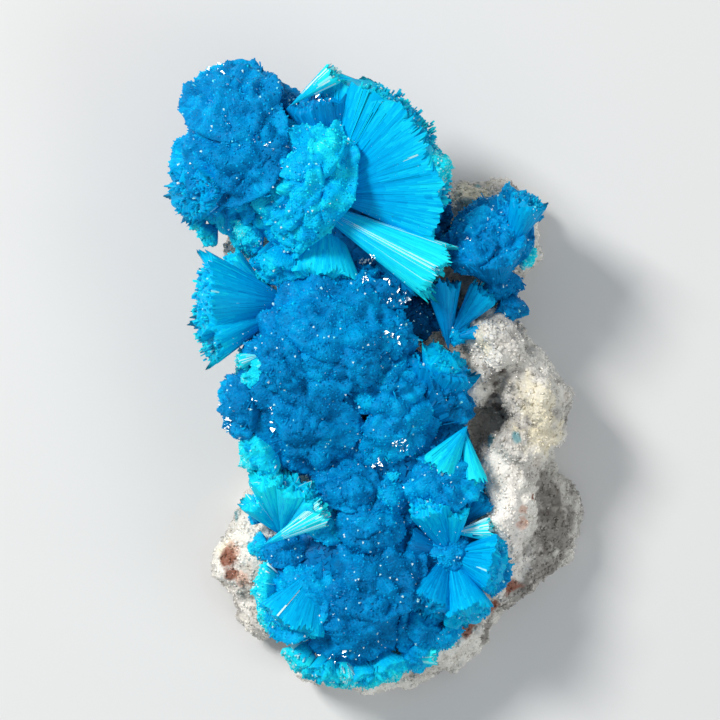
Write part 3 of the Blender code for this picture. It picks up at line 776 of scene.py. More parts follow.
def crystal_mesh(name, seed, crystals):
    """One mesh of many crystals, each a copy of the seed."""
    aim, side, width = crystals["aim"], crystals["side"], crystals["width"][:, None]
    flat = np.cross(aim, side)
    x, y, z = seed.points.T
    back = np.where(seed.at_end, (z - 1.0)[None, :] * width, -crystals["length"][:, None])
    points = (crystals["end"][:, None, :]
              + side[:, None, :] * (x[None, :] * width)[:, :, None]
              + flat[:, None, :] * (y[None, :] * width)[:, :, None]
              + aim[:, None, :] * back[:, :, None])
    points[:, :, 2] = np.maximum(points[:, :, 2], LOWEST_POINT)
    mesh = joined_mesh(name, points, seed.corners, seed.sizes)
    paint(mesh, np.repeat(crystals["tone"], seed.corners.size), np.tile(seed.unshaded_share, len(aim)))
    soften(mesh, seed, points, crystals["outward"])
    return mesh


BLUE_RAMP = [                  # from painted shade in sunken bundles, over their skin, to white painted highlights
    (0.0, (0.0, 0.06, 0.17)), (0.25, (0.0, 0.175, 0.44)), (0.42, (0.0, 0.28, 0.64)),
    (0.61, (0.0, 0.47, 0.85)), (0.85, (0.01, 0.82, 0.92)), (1.0, (0.78, 0.94, 0.98))]
# painted shade: the navy that crystal roots deep among their neighbours are painted
DEPTH_SHADE_BLUE = (0.0, 0.17, 0.44)


def velvet_group():
    """A mask of the fine grain of crystal ends and of the streaks they are combed into."""
    group, start, end = new_group("velvet", Fine=0.0, Streaks=0.0, Strength=0.0)
    comb = add_node(group, "Attribute", {}, attribute_name="comb")
    place = add_node(group, "TexCoord", {})
    in_mm = add_node(group, "VectorMath", {0: place.outputs["Object"], "Scale": 1.0 / MM},
                     operation="SCALE")
    parts = []
    for source, scale in ((in_mm, "Fine"), (comb, "Streaks")):
        grain = add_node(group, "TexNoise", {
            "Vector": source.outputs["Vector"], "Scale": start.outputs[scale], "Detail": 2.0})
        parts.append(grain.outputs["Fac"])
    both = reckon(group, "ADD", *parts)
    middle = reckon(group, "SUBTRACT", both, 1.0)
    fill_inputs(group, end, {"Mask": reckon(group, "MULTIPLY", middle, start.outputs["Strength"])})
    return group


def crystal_look(name, roughness, combed=False):
    """Vitreous blue: navy as painted shade in the depth, azure at the ends and cyan in the lit edges."""
    material, tree, shader = new_look(name)
    growth = add_node(tree, "UVMap", {}, uv_map="growth")
    parts = add_node(tree, "SeparateXYZ", {"Vector": growth.outputs["UV"]})
    tone = parts.outputs["X"]
    if combed:
        velvet = add_mask(tree, VELVET, Fine=5.5, Streaks=2.6, Strength=0.32)
        tone = reckon(tree, "ADD", tone, velvet)
        bump = add_node(tree, "Bump", {"Strength": 0.7, "Distance": 0.5 * MM, "Height": velvet})
        fill_inputs(tree, shader, {"Normal": bump.outputs["Normal"]})
    hue = add_node(tree, "ValToRGB", {"Fac": tone})
    stops = hue.color_ramp.elements
    for index, (spot, colour) in enumerate(BLUE_RAMP):
        stop = stops[index] if index < 2 else stops.new(spot)
        stop.position = spot
        stop.color = (*colour, 1.0)
    # painted shade: corners far down among the crystals blend to navy
    depth = add_node(tree, "MapRange", {"Value": parts.outputs["Y"], "From Max": 0.8})
    colour = blend_colour(tree, depth.outputs["Result"], DEPTH_SHADE_BLUE, hue.outputs["Color"])
    fill_inputs(tree, shader, {
        "Base Color": colour, "Roughness": roughness, "Specular IOR Level": 0.05})
    return material


VELVET = velvet_group()
SKIN_LOOK = crystal_look("cavansite_crystals", 0.3)
DOME_LOOK = crystal_look("cavansite_velvet", 0.45, combed=True)


def joined(parts):
    """Crystals of several sprays as one set, without those that can't be seen."""
    whole = {key: np.concatenate([part[key] for part in parts]) for key in parts[0]}
    keep = showing_ends(whole["end"]) & (whole["aim"][:, 2] > -0.2)
    return {key: value[keep] for key, value in whole.items()}


def add_piece(name, mesh, look, node):
    """Link a finished mesh as a piece that stands for a CAD node."""
    finish_piece(linked(name, mesh), look, node)


WHITE_LATHS = ((0.98, 0.6), (0.94, 0.3), (0.78, 0.08))  # above this tone: the share of laths painted white as painted highlights
RIM_POINTS = 721               # that a fan's rim is measured at
FAN_PITCH = 0.29 * MM          # from one lath to the next along a fan's rim
FAN_LOBES = 1.1 / MM           # lobes along a fan's rim
FAN_LOBE_REACH = 0.05          # the share by which the lobes reach out of the rim
LATH_UNEVEN = 0.026            # how unevenly the laths of a fan end, as a share of its reach
LATH_TONES = 0.05              # how unlike in tone a fan's laths are
LATH_MOTTLE = 0.045            # and the stretches of one lath
FAN_RIDGE = 0.045 * MM         # how far a lath's ridge stands out of a fan's face
FAN_STATIONS = np.array([0.03, 0.12, 0.22, 0.32, 0.42, 0.52, 0.62, 0.71, 0.80, 0.88, 0.95, 1.0])
FAN_CAP = np.array([0.82, 0.55, 0.25])  # rings over the rim, as shares of the way to it
FAN_ROOT_SHADE = 0.34                # painted shade and glow: how much paler a fan is painted from its root to its rim


def fan_form(name, spray):
    """A closed fan whose flat sides are combed into laths that run from its root to its rim."""
    place, reach, axes, tone = spray.place, spray.reach, spray.axes, spray.tone
    spread, depth = spray.spread, spray.depth
    apex = np.array([0.0, 0.0, -spray.back])
    trace = np.linspace(0.0, 2.0 * math.pi, RIM_POINTS)
    ring = np.stack([np.cos(trace), np.sin(trace), 0.0 * trace], axis=1)
    lobes = noise_at(ring * reach * FAN_LOBES + place)
    rim_share = 0.975 + swells(np.full(RIM_POINTS, math.radians(CAP_END)), trace, place)
    rim_share += FAN_LOBE_REACH * lobes
    rim = polar(cone_width(trace, spread, depth), trace) * (reach * rim_share)[:, None]
    arc = np.concatenate([[0.0], np.cumsum(np.linalg.norm(np.diff(rim, axis=0), axis=1))])
    laths = max(14, int(arc[-1] / FAN_PITCH))
    lines = 2 * laths
    spots = (np.arange(lines) + rng.uniform(-0.22, 0.22, lines)) / lines * arc[-1]
    around = np.interp(np.clip(spots, 0.0, arc[-1]), arc, trace)
    width = cone_width(around, spread, depth)
    ends = polar(width, around) * (reach * np.interp(around, trace, rim_share))[:, None] - apex
    tangent = np.roll(ends, -1, axis=0) - np.roll(ends, 1, axis=0)
    flank = unit(np.cross(tangent, ends))
    flank *= np.sign(np.sum(flank * polar(width + 0.3, around), axis=1))[:, None]
    begins = np.repeat(rng.uniform(-0.5, 0.85, laths), 2)
    stands = np.repeat(rng.uniform(0.25, 1.0, laths), 2) * (np.arange(lines) % 2 == 0) * FAN_RIDGE
    longer = np.repeat(rng.normal(0.0, LATH_UNEVEN, laths), 2)
    along = FAN_STATIONS[:, None, None]
    height = stands[None, :, None] * np.where(along > begins[None, :, None], 1.0, 0.15)
    height *= np.minimum(1.0, 3.0 * along)
    sides = apex + ends * along * (1.0 + longer[None, :, None] * along) + flank * height
    cap_way = [polar(width * share, around) for share in FAN_CAP]
    cap_length = [reach * (0.955 + swells(np.full(lines, math.radians(CAP_END) * share), around, place))
                  for share in FAN_CAP]
    caps = np.stack([way * length[:, None] for way, length in zip(cap_way, cap_length)])
    rings = np.concatenate([sides, caps])
    tip = np.array([[0.0, 0.0, reach * (0.955 + swells(np.zeros(1), np.zeros(1), place)[0])]])
    points = np.concatenate([rings.reshape(-1, 3), apex[None, :], tip])
    outward = np.concatenate([np.tile(flank, (len(FAN_STATIONS), 1)), np.concatenate(cap_way),
                              [[0.0, 0.0, -1.0]], [[0.0, 0.0, 1.0]]])
    here, right = np.arange(lines), (np.arange(lines) + 1) % lines
    quads = np.concatenate([np.stack([ring * lines + here, ring * lines + right, (ring + 1) * lines + right,
                                      (ring + 1) * lines + here], axis=1) for ring in range(len(rings) - 1)])
    root, top = len(points) - 2, len(points) - 1
    last = (len(rings) - 1) * lines
    low_end = np.stack([right, here, np.full(lines, root)], axis=1)
    top_end = np.stack([last + here, last + right, np.full(lines, top)], axis=1)
    a, b, c = (points[quads[:, corner]] for corner in range(3))
    turned = np.sum(np.cross(b - a, c - a) * outward[quads[:, 0]], axis=1)
    if np.median(turned) < 0.0:
        quads, low_end, top_end = quads[:, ::-1], low_end[:, ::-1], top_end[:, ::-1]
    corners = np.concatenate([quads.reshape(-1), low_end.reshape(-1), top_end.reshape(-1)])
    sizes = np.concatenate([np.full(len(quads), 4), np.full(2 * lines, 3)])
    points = points @ axes + spray.middle
    points[:, 2] = np.maximum(points[:, 2], LOWEST_POINT)
    mesh = joined_mesh(name, points[None, :, :], corners, sizes)
    lath_tone = rng.normal(0.0, LATH_TONES, laths)
    white_share = max([share for limit, share in WHITE_LATHS if tone > limit], default=0.0)
    white = rng.random(laths) < white_share
    station = np.concatenate([(FAN_STATIONS[:-1] + FAN_STATIONS[1:]) / 2.0, [1.0, 1.0, 0.95]])
    lath = here // 2
    # painted shade and glow: darker towards the root, paler towards the rim
    face_tone = tone + lath_tone[lath][None, :] + FAN_ROOT_SHADE * (station[:, None] - 0.8)
    face_tone = face_tone + rng.normal(0.0, LATH_MOTTLE, face_tone.shape)
    ramp = np.clip(face_tone, 0.02, 1.0) * RAMP_SHARE
    # painted highlights: some laths are streaked white along their ridges
    ramp = np.where(white[lath][None, :] & (station[:, None] > 0.3) & (here % 2 == 0)[None, :], 0.97, ramp)
    root_ramp = np.full(lines, max(0.02, tone - FAN_ROOT_SHADE) * RAMP_SHARE)
    top_ramp = np.full(lines, tone * RAMP_SHARE)
    face_ramp = np.concatenate([ramp.reshape(-1), root_ramp, top_ramp])
    paint(mesh, np.repeat(face_ramp, sizes), np.ones(len(corners)))
    facing = np.empty(len(sizes) * 3)
    mesh.polygons.foreach_get("normal", facing)
    own = np.repeat(facing.reshape(-1, 3), sizes, axis=0)
    mesh.normals_split_custom_set(unit((1.0 - SOFTNESS) * own + SOFTNESS * (outward @ axes)[corners]))
    return mesh


def merged_meshes(name, meshes):
    """Several meshes as one."""
    things = [linked(name, mesh) for mesh in meshes]
    deselect_all()
    for thing in things:
        thing.select_set(True)
    bpy.context.view_layer.objects.active = things[0]
    if len(things) > 1:
        bpy.ops.object.join()
    whole = things[0].data
    bpy.data.objects.remove(things[0], do_unlink=True)
    return whole


def add_sprays(name, rows, node):
    """Make the pieces of a group of sprays: their domes, fans and standing crystals."""
    sprays = [Spray(row) for row in rows]
    fans = [spray for spray in sprays if spray.leaf]
    domes = [spray for spray in sprays if not spray.leaf]
    if fans:
        forms = [fan_form(name + "_fans", spray) for spray in fans]
        add_piece(name + "_fans", merged_meshes(name + "_fans", forms), SKIN_LOOK, node)
    if domes:
        forms = [dome_form(name + "_domes", spray) for spray in domes]
        add_piece(name + "_domes", merged_meshes(name + "_domes", forms), DOME_LOOK, node)
    standing = [("_wedges", WEDGE, skin_wedges, sprays), ("", NEEDLE, skin_crystals, sprays)]
    if fans:
        standing.append(("_faces", LATH, face_laths, fans))
    for ending, seed, grow, bearers in standing:
        crystals = joined([grow(spray) for spray in bearers])
        add_piece(name + ending, crystal_mesh(name + ending, seed, crystals), SKIN_LOOK, node)


add_sprays("crown_sprays", [  # place in mm, reach, heading, rise, spread, depth, tone
    ((-12.4, 22.9, 10.0), 9.1, 112, 40, 36, 44, 0.46),  # crown_north
    ((-11.4, 22.9, 10.0), 7.0, 60, 32, 30, 40, 0.34),  # crown_east
    ((-9.6, 26.9, 9.6), 2.5, 45, 30, 58, 50, 0.24),  # crown_knob
    ((-11.8, 21.4, 10.0), 8.8, 176, 38, 30, 44, 0.52),  # crown_west
    ((-11.8, 20.9, 9.5), 9.3, 201, 28, 18, 34, 0.58),  # crown_southwest
    ((-12.7, 20.6, 9.5), 6.6, 236, 38, 30, 44, 0.64),  # crown_south
    ((-12.4, 22.1, 10.6), 8.4, 155, 72, 48, 42, 0.44),  # crown_heart
    ((-17.2, 16.4, 9.0), 2.0, 215, 12, 45, 40, 0.85),  # crown_hem_1
    ((-16.2, 15.3, 9.0), 2.2, 225, 15, 50, 45, 0.9),  # crown_hem_2
    ((-15.2, 28.1, 9.6), 3.7, 128, 26, 42, 42, 0.52),  # crown_corner
    ((-15.4, 23.9, 12.2), 3.2, 160, 65, 70, 55, 0.5),  # crown_fold
    ((-11.4, 24.9, 12.4), 2.8, 100, 75, 70, 55, 0.4),  # crown_seam
], "cavansite")


# The rosette's domed half. Balls of fine blue crystals that grew out of one root towards the
# west, north and south, with paler lumps at its foot where the crystals are short and thin.
add_sprays("rosette_mass", [
    ((-4.7, 18.8, 9.9), 9.0, 160, 62, 52, 46, 0.76),  # mass_core
    ((-3.9, 18.9, 10.2), 9.9, 126, 44, 28, 36, 0.78),  # mass_top
    ((-3.9, 18.8, 10.5), 9.3, 172, 44, 30, 36, 0.76),  # mass_west
    ((-4.0, 18.8, 10.5), 9.1, 212, 40, 24, 34, 0.74),  # mass_south
    ((-5.5, 18.1, 15.5), 2.3, 330, 50, 75, 65, 0.6),  # mass_knob
    ((-6.5, 15.7, 13.5), 2.1, 280, 50, 70, 60, 0.48),  # mass_block
    ((-8.4, 14.2, 11.0), 5.6, 255, 30, 40, 30, 0.8),  # apron_west
    ((-11.2, 16.2, 10.5), 4.4, 225, 25, 36, 36, 0.86),  # apron_southwest
    ((-10.4, 11.9, 10.5), 3.0, 285, 35, 65, 50, 0.86),  # apron_low
    ((-7.7, 20.6, 14.0), 3.6, 150, 70, 70, 60, 0.76),  # mass_fold
], "cavansite")


# The great fan, the rosette's flat half. Long crystals grew side by side from the same root,
# so their combed flat sides show. A pale sheaf, a book of laths streaked white with painted
# highlights, and skirts painted dark as painted shade edge it.
add_sprays("great_fan", [
    # painted shade: the wall is painted dark for the shaded valley beside the mass
    ((-3.9, 19.1, 12.5), 9.7, 103, 18, 20, 18, 0.38),  # fan_wall
    ((-3.9, 19.1, 14.2), 10.9, 34, 9, 66, 19, 0.72),  # fan_face
    ((5.0, 20.6, 16.0), 2.5, 12, 25, 70, 60, 0.95),  # fan_tuft
    ((-6.3, 17.4, 13.6), 14.6, 331, 7, 12, 10, 0.9),  # fan_sheaf
    ((-3.1, 16.4, 10.2), 10.6, 318, 0, 16, 16, 0.36),  # fan_spikes
    ((-2.6, 17.8, 10.0), 9.4, 345, 10, 30, 26, 0.34),  # fan_under
    ((-3.1, 4.8, 9.6), 7.4, 52, 20, 30, 30, 0.42),  # heart_shelf
    # painted shade: the skirts are painted dark for the shade under the fan's rim
    ((4.5, 18.8, 9.5), 2.9, 12, 20, 50, 50, 0.18),  # fan_skirt_1
    ((4.5, 16.6, 9.5), 3.2, 350, 20, 50, 50, 0.16),  # fan_skirt_2
    ((4.8, 14.2, 9.5), 2.8, 335, 20, 55, 50, 0.16),  # fan_skirt_3
    ((-5.2, 17.2, 11.5), 8.1, 264, 14, 31, 20, 0.78),  # apron_fan
    ((-8.1, 27.4, 16.5), 5.0, 36, 12, 13, 10, 0.97),  # fan_book
], "cavansite")


# The west leaves. Broad thin fans that lean out over the table from a root under the heart,
# and below them short cyan sprays and one pale blade, streaked white with painted highlights,
# that grew out of the same flank.
add_sprays("west_sprays", [
    ((-8.9, 7.5, 11.5), 9.5, 176, 14, 28, 24, 0.66),  # west_leaf
    ((-9.4, 6.8, 11.0), 8.9, 203, 16, 16, 22, 0.72),  # west_low
    ((-11.2, 8.8, 11.0), 5.1, 145, 10, 22, 20, 0.74),  # west_top
    ((-9.2, 0.6, 11.0), 5.0, 172, 26, 44, 42, 0.92),  # west_edge_1
    ((-10.4, -2.5, 10.2), 5.4, 190, 22, 42, 44, 0.42),  # west_edge_2
    ((-9.2, -6.5, 9.8), 4.9, 210, 20, 44, 44, 0.92),  # west_edge_3
    ((-10.8, 2.5, 14.0), 3.2, 197, 10, 14, 10, 1.0),  # west_blade
], "cavansite")


# The heart of the specimen. Overlapping balls of the deepest blue. Their crystals grew
# outwards from several roots close together until the balls met in folds.
add_sprays("heart_sprays", [
    ((-4.7, 3.0, 9.0), 9.4, 78, 57, 48, 42, 0.48),  # heart_north
    ((-3.6, 3.2, 9.8), 7.0, 22, 40, 34, 38, 0.42),  # heart_east
    ((-5.7, 0.9, 8.0), 9.4, 165, 70, 54, 42, 0.38),  # heart
    ((-6.0, -2.5, 8.2), 8.3, 250, 57, 56, 42, 0.43),  # heart_south
    ((0.3, -1.6, 10.5), 5.8, 80, 64, 64, 55, 0.52),  # knob_north
    ((-8.8, 2.0, 14.6), 3.7, 200, 70, 70, 58, 0.44),  # heart_fold_west
    ((-5.8, 1.8, 15.0), 3.1, 270, 75, 70, 58, 0.46),  # heart_fold_middle
    ((-2.6, 1.4, 14.8), 3.4, 290, 75, 70, 58, 0.42),  # heart_fold_east
    ((1.1, 3.8, 12.4), 3.2, 20, 65, 70, 58, 0.4),  # heart_fold_rim
    ((-2.5, -0.8, 9.5), 4.8, 90, 80, 60, 60, 0.34),  # heart_fold
    ((1.1, -3.8, 10.0), 5.8, 320, 55, 65, 52, 0.54),  # knob_south
    ((-0.7, -7.2, 10.0), 3.2, 270, 60, 75, 60, 0.44),  # knob_foot
], "cavansite")


# The east wing. Fans and balls that grew sideways over the matrix, painted deep teal as painted
# shade where they lie in shadow, and pale at the rims. Two vee-shaped fans and a cushion lie south
# of them.
add_sprays("east_sprays", [
    ((4.0, -4.0, 9.8), 6.4, 36, 28, 38, 34, 0.38),  # east_wing
    ((4.8, -2.5, 10.4), 6.0, 66, 22, 24, 30, 0.66),  # east_wing_tip
    ((4.3, -1.8, 9.0), 4.6, 110, 35, 42, 40, 0.22),  # east_wing_shade
    # painted shade: a low navy spray fills the shaded gap beside the flat blades
    ((3.5, 6.0, 7.6), 3.0, 90, 70, 85, 80, 0.1),  # gap_shade
    ((4.2, -5.5, 9.5), 8.4, 70, 24, 27, 20, 0.44),  # east_wing_rim
    ((8.8, -5.3, 13.0), 4.9, 236, 2, 24, 14, 0.86),  # east_vee
    ((8.8, -5.5, 12.5), 5.2, 283, 0, 14, 14, 0.9),  # east_vee_low
    ((6.8, -10.8, 9.0), 5.3, 110, 70, 64, 54, 0.52),  # east_cushion
    ((4.3, -9.8, 9.5), 3.0, 190, 50, 65, 55, 0.5),  # east_cushion_west
    ((8.8, -11.4, 9.5), 2.6, 350, 25, 60, 50, 0.68),  # east_hem
], "cavansite")


# The beads. Small separate balls of short crystals that grew late, in the hollow between the
# heart and the south mass.
add_sprays("bead_sprays", [
    ((1.8, -10.1, 11.0), 1.6, 60, 70, 90, 90, 0.72),  # bead_1
    ((0.9, -12.1, 11.2), 2.7, 60, 60, 75, 70, 0.56),  # bead_2
    ((-2.6, -11.4, 11.0), 3.9, 100, 65, 65, 60, 0.44),  # bead_3
    ((-0.7, -15.2, 11.0), 4.0, 95, 75, 72, 64, 0.44),  # bead_4
    ((3.1, -14.2, 10.0), 1.9, 20, 60, 80, 80, 0.35),  # bead_5
    ((-4.5, -10.1, 11.0), 2.6, 110, 60, 75, 70, 0.4),  # bead_6
    ((2.4, -12.8, 10.2), 1.7, 40, 60, 80, 80, 0.5),  # bead_7
    ((-1.9, -7.8, 10.0), 3.4, 90, 70, 80, 80, 0.3),  # bridge
], "cavansite")


# The cup. Pale fans stand half around a root at the west edge, and a nearly white blade of long
# crystals, its white a painted highlight, lies across them.
add_sprays("cup_sprays", [
    ((-9.6, -15.8, 9.3), 5.3, 131, 26, 15, 20, 0.8),  # cup_0
    ((-9.6, -15.8, 9.5), 7.0, 105, 28, 15, 18, 0.88),  # cup_1
    ((-9.6, -15.8, 9.5), 6.6, 75, 34, 20, 18, 0.82),  # cup_2
    ((-9.6, -15.8, 9.5), 6.7, 42, 34, 17, 18, 0.8),  # cup_3
    ((-10.7, -13.8, 9.0), 2.4, 165, 15, 50, 40, 0.66),  # cup_side
    ((-10.6, -16.4, 13.2), 6.3, 28, 8, 13, 7, 1.0),  # cup_blade
    ((-5.5, -15.6, 9.5), 3.5, 60, 55, 62, 52, 0.66),  # cup_lip
    ((-10.8, -17.1, 8.5), 2.0, 185, 25, 60, 55, 0.76),  # cup_knob
    ((-8.7, -18.1, 9.5), 3.0, 110, 50, 65, 60, 0.42),  # cup_heel
], "cavansite")


# The south mass. A broad mound of blue balls with one streaked fan lying on its west side.
# Short cyan crystals hem its foot, where they are thin enough to let light through.
add_sprays("south_sprays", [
    ((-6.5, -23.1, 8.3), 5.9, 150, 62, 52, 46, 0.64),  # south_west
    ((-5.8, -19.2, 12.2), 6.8, 243, 9, 32, 17, 0.66),  # south_west_fan
    ((-9.4, -20.8, 10.4), 3.2, 180, 12, 55, 42, 0.97),  # south_west_hem
    ((-9.1, -23.2, 10.0), 3.1, 203, 12, 48, 42, 0.93),  # south_west_hem_2
    ((0.1, -21.8, 8.0), 7.4, 95, 68, 48, 44, 0.39),  # south_heart
    ((2.9, -21.9, 10.0), 2.7, 15, 40, 75, 65, 0.58),  # south_shoulder
    ((-2.1, -23.2, 8.2), 6.5, 262, 62, 60, 48, 0.39),  # south
    ((3.5, -24.8, 9.0), 3.6, 340, 50, 72, 62, 0.5),  # south_east
    ((-6.2, -26.6, 9.6), 3.6, 228, 18, 34, 34, 0.97),  # south_hem_1
    ((-4.5, -27.2, 9.8), 4.0, 250, 22, 30, 34, 0.85),  # south_hem_5
    ((-3.2, -27.9, 9.8), 3.5, 262, 15, 38, 38, 1.0),  # south_hem_2
    ((-1.4, -28.1, 9.6), 3.4, 280, 15, 48, 42, 0.84),  # south_hem_3
    ((0.2, -27.4, 9.6), 3.8, 295, 15, 45, 42, 0.92),  # south_hem_4
    ((2.9, -26.6, 8.5), 3.6, 325, 25, 58, 46, 0.64),  # south_apron
    ((1.1, -28.4, 9.6), 5.0, 5, 6, 12, 12, 0.96),  # south_sheaf
], "cavansite")


# The small rosette. Thin fans set around one root like petals, steep in the middle and flat
# outside, with one bundle on the east side streaked white with painted highlights, and a cyan hem.
add_sprays("rosette_sprays", [
    ((7.5, -17.9, 10.2), 6.9, 114, 30, 20, 18, 0.68),  # rosette_1
    ((7.5, -17.9, 10.2), 5.6, 84, 30, 14, 18, 0.74),  # rosette_2
    ((7.5, -17.8, 10.0), 5.1, 165, 15, 22, 20, 0.36),  # rosette_3
    ((7.2, -18.1, 10.0), 6.6, 246, 24, 26, 24, 0.52),  # rosette_4
    ((7.5, -17.9, 10.0), 7.4, 287, 20, 22, 24, 0.66),  # rosette_5
    ((7.5, -17.9, 10.4), 5.8, 350, 24, 34, 22, 0.62),  # rosette_6
    ((8.1, -15.2, 9.5), 4.5, 46, 20, 18, 14, 0.44),  # rosette_7
    ((8.0, -15.6, 11.5), 3.7, 6, 8, 20, 14, 1.0),  # rosette_bundle
    ((7.5, -17.9, 10.0), 2.7, 0, 85, 60, 60, 0.58),  # rosette_heart
    ((10.8, -19.6, 8.5), 2.8, 338, 10, 50, 42, 0.5),  # rosette_hem
    ((7.8, -22.2, 9.0), 3.2, 302, 15, 42, 38, 0.97),  # rosette_hem_low
    ((6.2, -25.1, 8.5), 2.9, 295, 25, 60, 52, 0.68),  # rosette_foot
], "cavansite")


# The north-east cluster. A block of blue balls and two upright fans that grew by itself on the
# upper right end of the matrix. It touches no other blue part.
add_sprays("north_east_cluster", [
    ((12.3, 11.6, 7.5), 6.9, 112, 60, 46, 42, 0.48),  # cluster_main
    ((10.9, 13.2, 9.8), 5.2, 120, 84, 46, 44, 0.5),  # cluster_face
    ((12.8, 14.1, 8.0), 5.2, 62, 32, 30, 40, 0.55),  # cluster_peak
    ((11.3, 13.9, 8.5), 4.4, 104, 45, 42, 42, 0.5),  # cluster_top
    ((12.3, 10.9, 8.0), 3.9, 285, 42, 38, 44, 0.44),  # cluster_south
    ((13.8, 12.8, 7.5), 2.5, 350, 10, 50, 45, 0.97),  # cluster_east
    ((13.1, 8.7, 8.8), 3.1, 285, 15, 42, 45, 0.34),  # cluster_foot
    # painted shade: the west side is painted dark navy for the shade between the cluster and the great fan
    ((11.8, 12.8, 8.3), 4.2, 178, 22, 30, 45, 0.2),  # cluster_west
    ((11.6, 13.1, 8.5), 4.6, 128, 30, 28, 40, 0.46),  # cluster_corner
    ((12.3, 13.8, 8.5), 4.8, 95, 34, 34, 40, 0.5),  # cluster_north
    ((12.1, 8.9, 8.0), 8.4, 97, 40, 29, 36, 0.46),  # cluster_block
    ((12.8, 11.6, 11.0), 7.4, 68, 20, 15, 24, 0.56),  # cluster_peak_leaf
    ((12.1, 9.3, 9.5), 7.7, 122, 28, 26, 40, 0.42),  # cluster_edge
], "cavansite_north_east")


# The flat blades. A forked pair of blades and a finger that grew out of one small tuft and
# lie along the shoulder of the matrix. They touch no other blue part.
add_sprays("flat_blades", [
    ((7.2, 3.6, 10.6), 6.2, 95, 12, 17, 12, 0.5),  # blade_long
    ((7.7, 4.5, 10.7), 5.5, 52, 12, 18, 12, 0.56),  # blade_fork
    ((7.7, 4.0, 10.5), 3.0, 12, 8, 16, 12, 0.6),  # blade_finger
    ((8.1, 5.0, 9.2), 2.2, 60, 60, 95, 90, 0.7),  # blade_root
], "cavansite_blades")


# The undergrowth. Where the sprays stand apart, shorter crystals cover the roots that join them
# to the rock, painted a darker blue as painted shade between the sprays.
# painted shade: the undergrowth is darker than the sprays
UNDERGROWTH_SHADE_TONE = 0.3
UNDERGROWTH_PITCH = 0.58 * MM
CORE_INSET = 0.7               # millimetres from the crystals' ends to the closed form under them


def undergrowth(row):
    """Short crystals over one of the root lumps."""
    place, half = row
    area = 4.0 * math.pi * (half[0] * half[1] * half[2]) ** (2.0 / 3.0) * MM ** 2
    count = int(area / UNDERGROWTH_PITCH ** 2)
    order = np.arange(count) + 0.5
    height = 1.0 - 1.3 * order / count
    around = order * math.pi * (3.0 - math.sqrt(5.0))
    way = polar(np.arccos(height), around)
    size = np.array(half) * MM
    normal = unit(way / size)
    lumps = noise_at(way * 4.0 + np.array(place))
    end = way * size + np.array(at(*place)) + normal * (0.25 * MM * lumps)[:, None]
    aim = unit(normal + rng.normal(0.0, 0.12, way.shape))
    return {
        "end": end, "aim": aim, "length": np.full(count, 1.0 * MM),
        "width": rng.uniform(1.3, 2.0, count) * UNDERGROWTH_PITCH,
        "side": unit(np.cross(aim, rng.normal(size=aim.shape))),
        "tone": painted(UNDERGROWTH_SHADE_TONE + 0.1 * lumps + rng.normal(0.0, 0.05, count), 0.0, 0.0),
        "outward": normal,
    }


ROOT_LUMPS = [
    ((-12.0, 20.5, 9.5), (5.5, 6.0, 4.6)),
    ((-4.0, 17.0, 9.5), (8.0, 7.5, 4.6)),
    ((-5.0, 2.0, 9.0), (7.5, 9.5, 5.0)),
    ((1.5, -8.5, 8.8), (9.0, 7.5, 4.2)),
    ((-1.5, -20.0, 8.6), (9.5, 8.5, 4.4)),
    ((7.0, -17.5, 8.5), (4.5, 5.0, 3.4)),
]
low = joined([undergrowth(row) for row in ROOT_LUMPS])
add_piece("undergrowth", crystal_mesh("undergrowth", NEEDLE, low), SKIN_LOOK, "cavansite")
lumps = np.stack([
    BALLS[0][0] * (np.array(half) - CORE_INSET) * MM + np.array(at(*place))
    for place, half in ROOT_LUMPS
])
low_core = joined_mesh("undergrowth_depth", lumps, *BALLS[0][1:])
# painted shade: the closed form under the undergrowth is darker still
core_ramp = np.full(len(lumps) * len(BALLS[0][1]), UNDERGROWTH_SHADE_TONE - 0.1)
paint(low_core, core_ramp, np.ones(len(core_ramp)))
low_core.shade_smooth()
add_piece("undergrowth_depth", low_core, SKIN_LOOK, "cavansite")
bpy.context.view_layer.update()
BLUE_PIECES = [thing for thing in bpy.context.scene.objects
               if thing.type == "MESH" and len(thing.data.materials) == 1
               and thing.data.materials[0] in (SKIN_LOOK, DOME_LOOK)]


# The glints. Here and there a crystal ends in a wide flat face, and where such faces lie square
# between the eye and the window they flash white. Their pale blue to white colour is a painted
# highlight as well. Most sit along the edges of the sprays.
def painted_glint_look():
    """The end faces of wider crystals: as glossy as glass, and painted pale blue to white as a painted
    highlight.
    """
    material, tree, shader = new_look("cavansite_glints")
    mask = add_mask(tree, BLOTCHES, Scale=2500.0, From=0.35, To=0.65)
    # painted highlight: the plates are pale blue to white under any light
    colour = blend_colour(tree, mask, (0.55, 0.84, 0.92), (0.90, 0.95, 0.96))
    fill_inputs(tree, shader, {"Base Color": colour, "Roughness": 0.12, "IOR": 1.6})
    return material


def skin_height(x, y):
    """The height of the crystals' top over a place in millimetres."""
    start = Vector(at(x, y, OVERHEAD))
    hits = [piece.ray_cast(start, DOWN) for piece in BLUE_PIECES]
    return max([place.z for found, place, normal, face in hits if found] or [0.0])


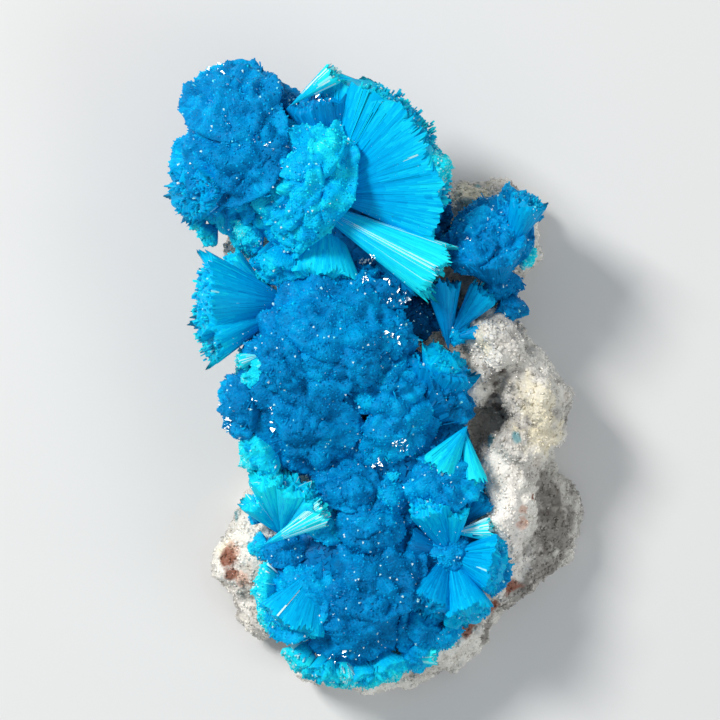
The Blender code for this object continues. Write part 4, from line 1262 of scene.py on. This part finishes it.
CROWN_LINE = 15.0              # mm, north of it the crown of sprays stands
SPARKLE_CROWN = -0.05          # small plates stand where the noise is over this
SPARKLE_ELSEWHERE = 0.14
GLINT_PATCHES = [  # place in millimetres, half width and height of the patch, count
    ((-0.9, 11.9), 1.0, 0.6, 26), ((-1.4, 10.0), 0.4, 0.4, 8), ((0.8, 9.6), 0.6, 0.8, 16),
    ((1.0, 7.5), 0.4, 0.5, 8), ((2.5, 8.3), 0.6, 0.9, 14), ((1.5, 4.6), 1.0, 1.4, 18),
    ((-14.9, -2.9), 0.9, 0.4, 12), ((-15.0, -4.7), 0.4, 1.0, 12), ((-12.3, -1.5), 0.3, 0.6, 6),
    ((-10.6, -2.8), 0.3, 0.6, 6), ((-10.3, -4.5), 0.3, 0.6, 6), ((-0.3, -8.5), 0.6, 0.8, 16),
    ((2.2, -6.3), 0.9, 0.8, 18), ((2.8, -11.1), 0.3, 0.2, 4), ((10.9, -17.3), 0.4, 0.3, 8),
    ((9.0, 14.0), 0.3, 2.2, 9), ((-4.0, -28.0), 2.5, 0.8, 9), ((-16.4, 31.2), 1.0, 0.7, 22),
    ((-11.1, 22.9), 0.4, 0.8, 12), ((-5.5, 27.8), 0.7, 0.8, 14),
    ((-8.6, 27.6), 0.6, 0.5, 6), ((-13.8, 30.5), 1.2, 0.5, 5),
    ((9.5, 19.0), 0.3, 0.2, 4), ((6.5, 19.9), 0.3, 0.3, 4), ((-8.0, 31.4), 0.5, 0.5, 5),
]
glint_rows = []
for (x, y), half_x, half_y, count in GLINT_PATCHES:
    for spot in rng.uniform(-0.9, 0.9, (count, 2)):
        glint_rows.append((x + spot[0] * half_x, y + spot[1] * half_y, rng.uniform(0.35, 0.95)))
for spot in rng.uniform((-19.0, -31.0), (16.0, 32.0), (3600, 2)):
    rarity = SPARKLE_CROWN if spot[1] > CROWN_LINE else SPARKLE_ELSEWHERE
    if noise.noise(Vector((spot[0], spot[1], 0.0)) * 0.35) > rarity:
        glint_rows.append((spot[0], spot[1], 0.07 + 0.16 * rng.random() ** 3))
glint_rows = [(x, y, size, skin_height(x, y)) for x, y, size in glint_rows]
glint_rows = [row for row in glint_rows if row[3] > 2.0 * MM]
count = len(glint_rows)
glint_end = np.array([(*at(x, y, 0.0)[:2], top + 0.2 * size * MM) for x, y, size, top in glint_rows])
to_window = unit(np.array(KEY_PLACE) - glint_end)
to_eye = unit(np.array(EYE) - glint_end)
large = np.array([size > 0.3 for x, y, size, top in glint_rows])[:, None]
glint_aim = unit(unit(to_window + to_eye) + rng.normal(size=(count, 3)) * np.where(large, 0.03, 0.13))
glints = {
    "end": glint_end, "aim": glint_aim,
    "length": np.array([0.12 * MM + 0.35 * MM * size for x, y, size, top in glint_rows]),
    "width": np.array([size for x, y, size, top in glint_rows]) * MM,
    "side": unit(np.cross(glint_aim, rng.normal(size=(count, 3)))),
    "tone": np.full(count, 0.9), "outward": glint_aim,
}
PLATE = Seed(model_crystal(4, 0.5))
add_piece("glints", crystal_mesh("glints", PLATE, glints), painted_glint_look(), "cavansite")
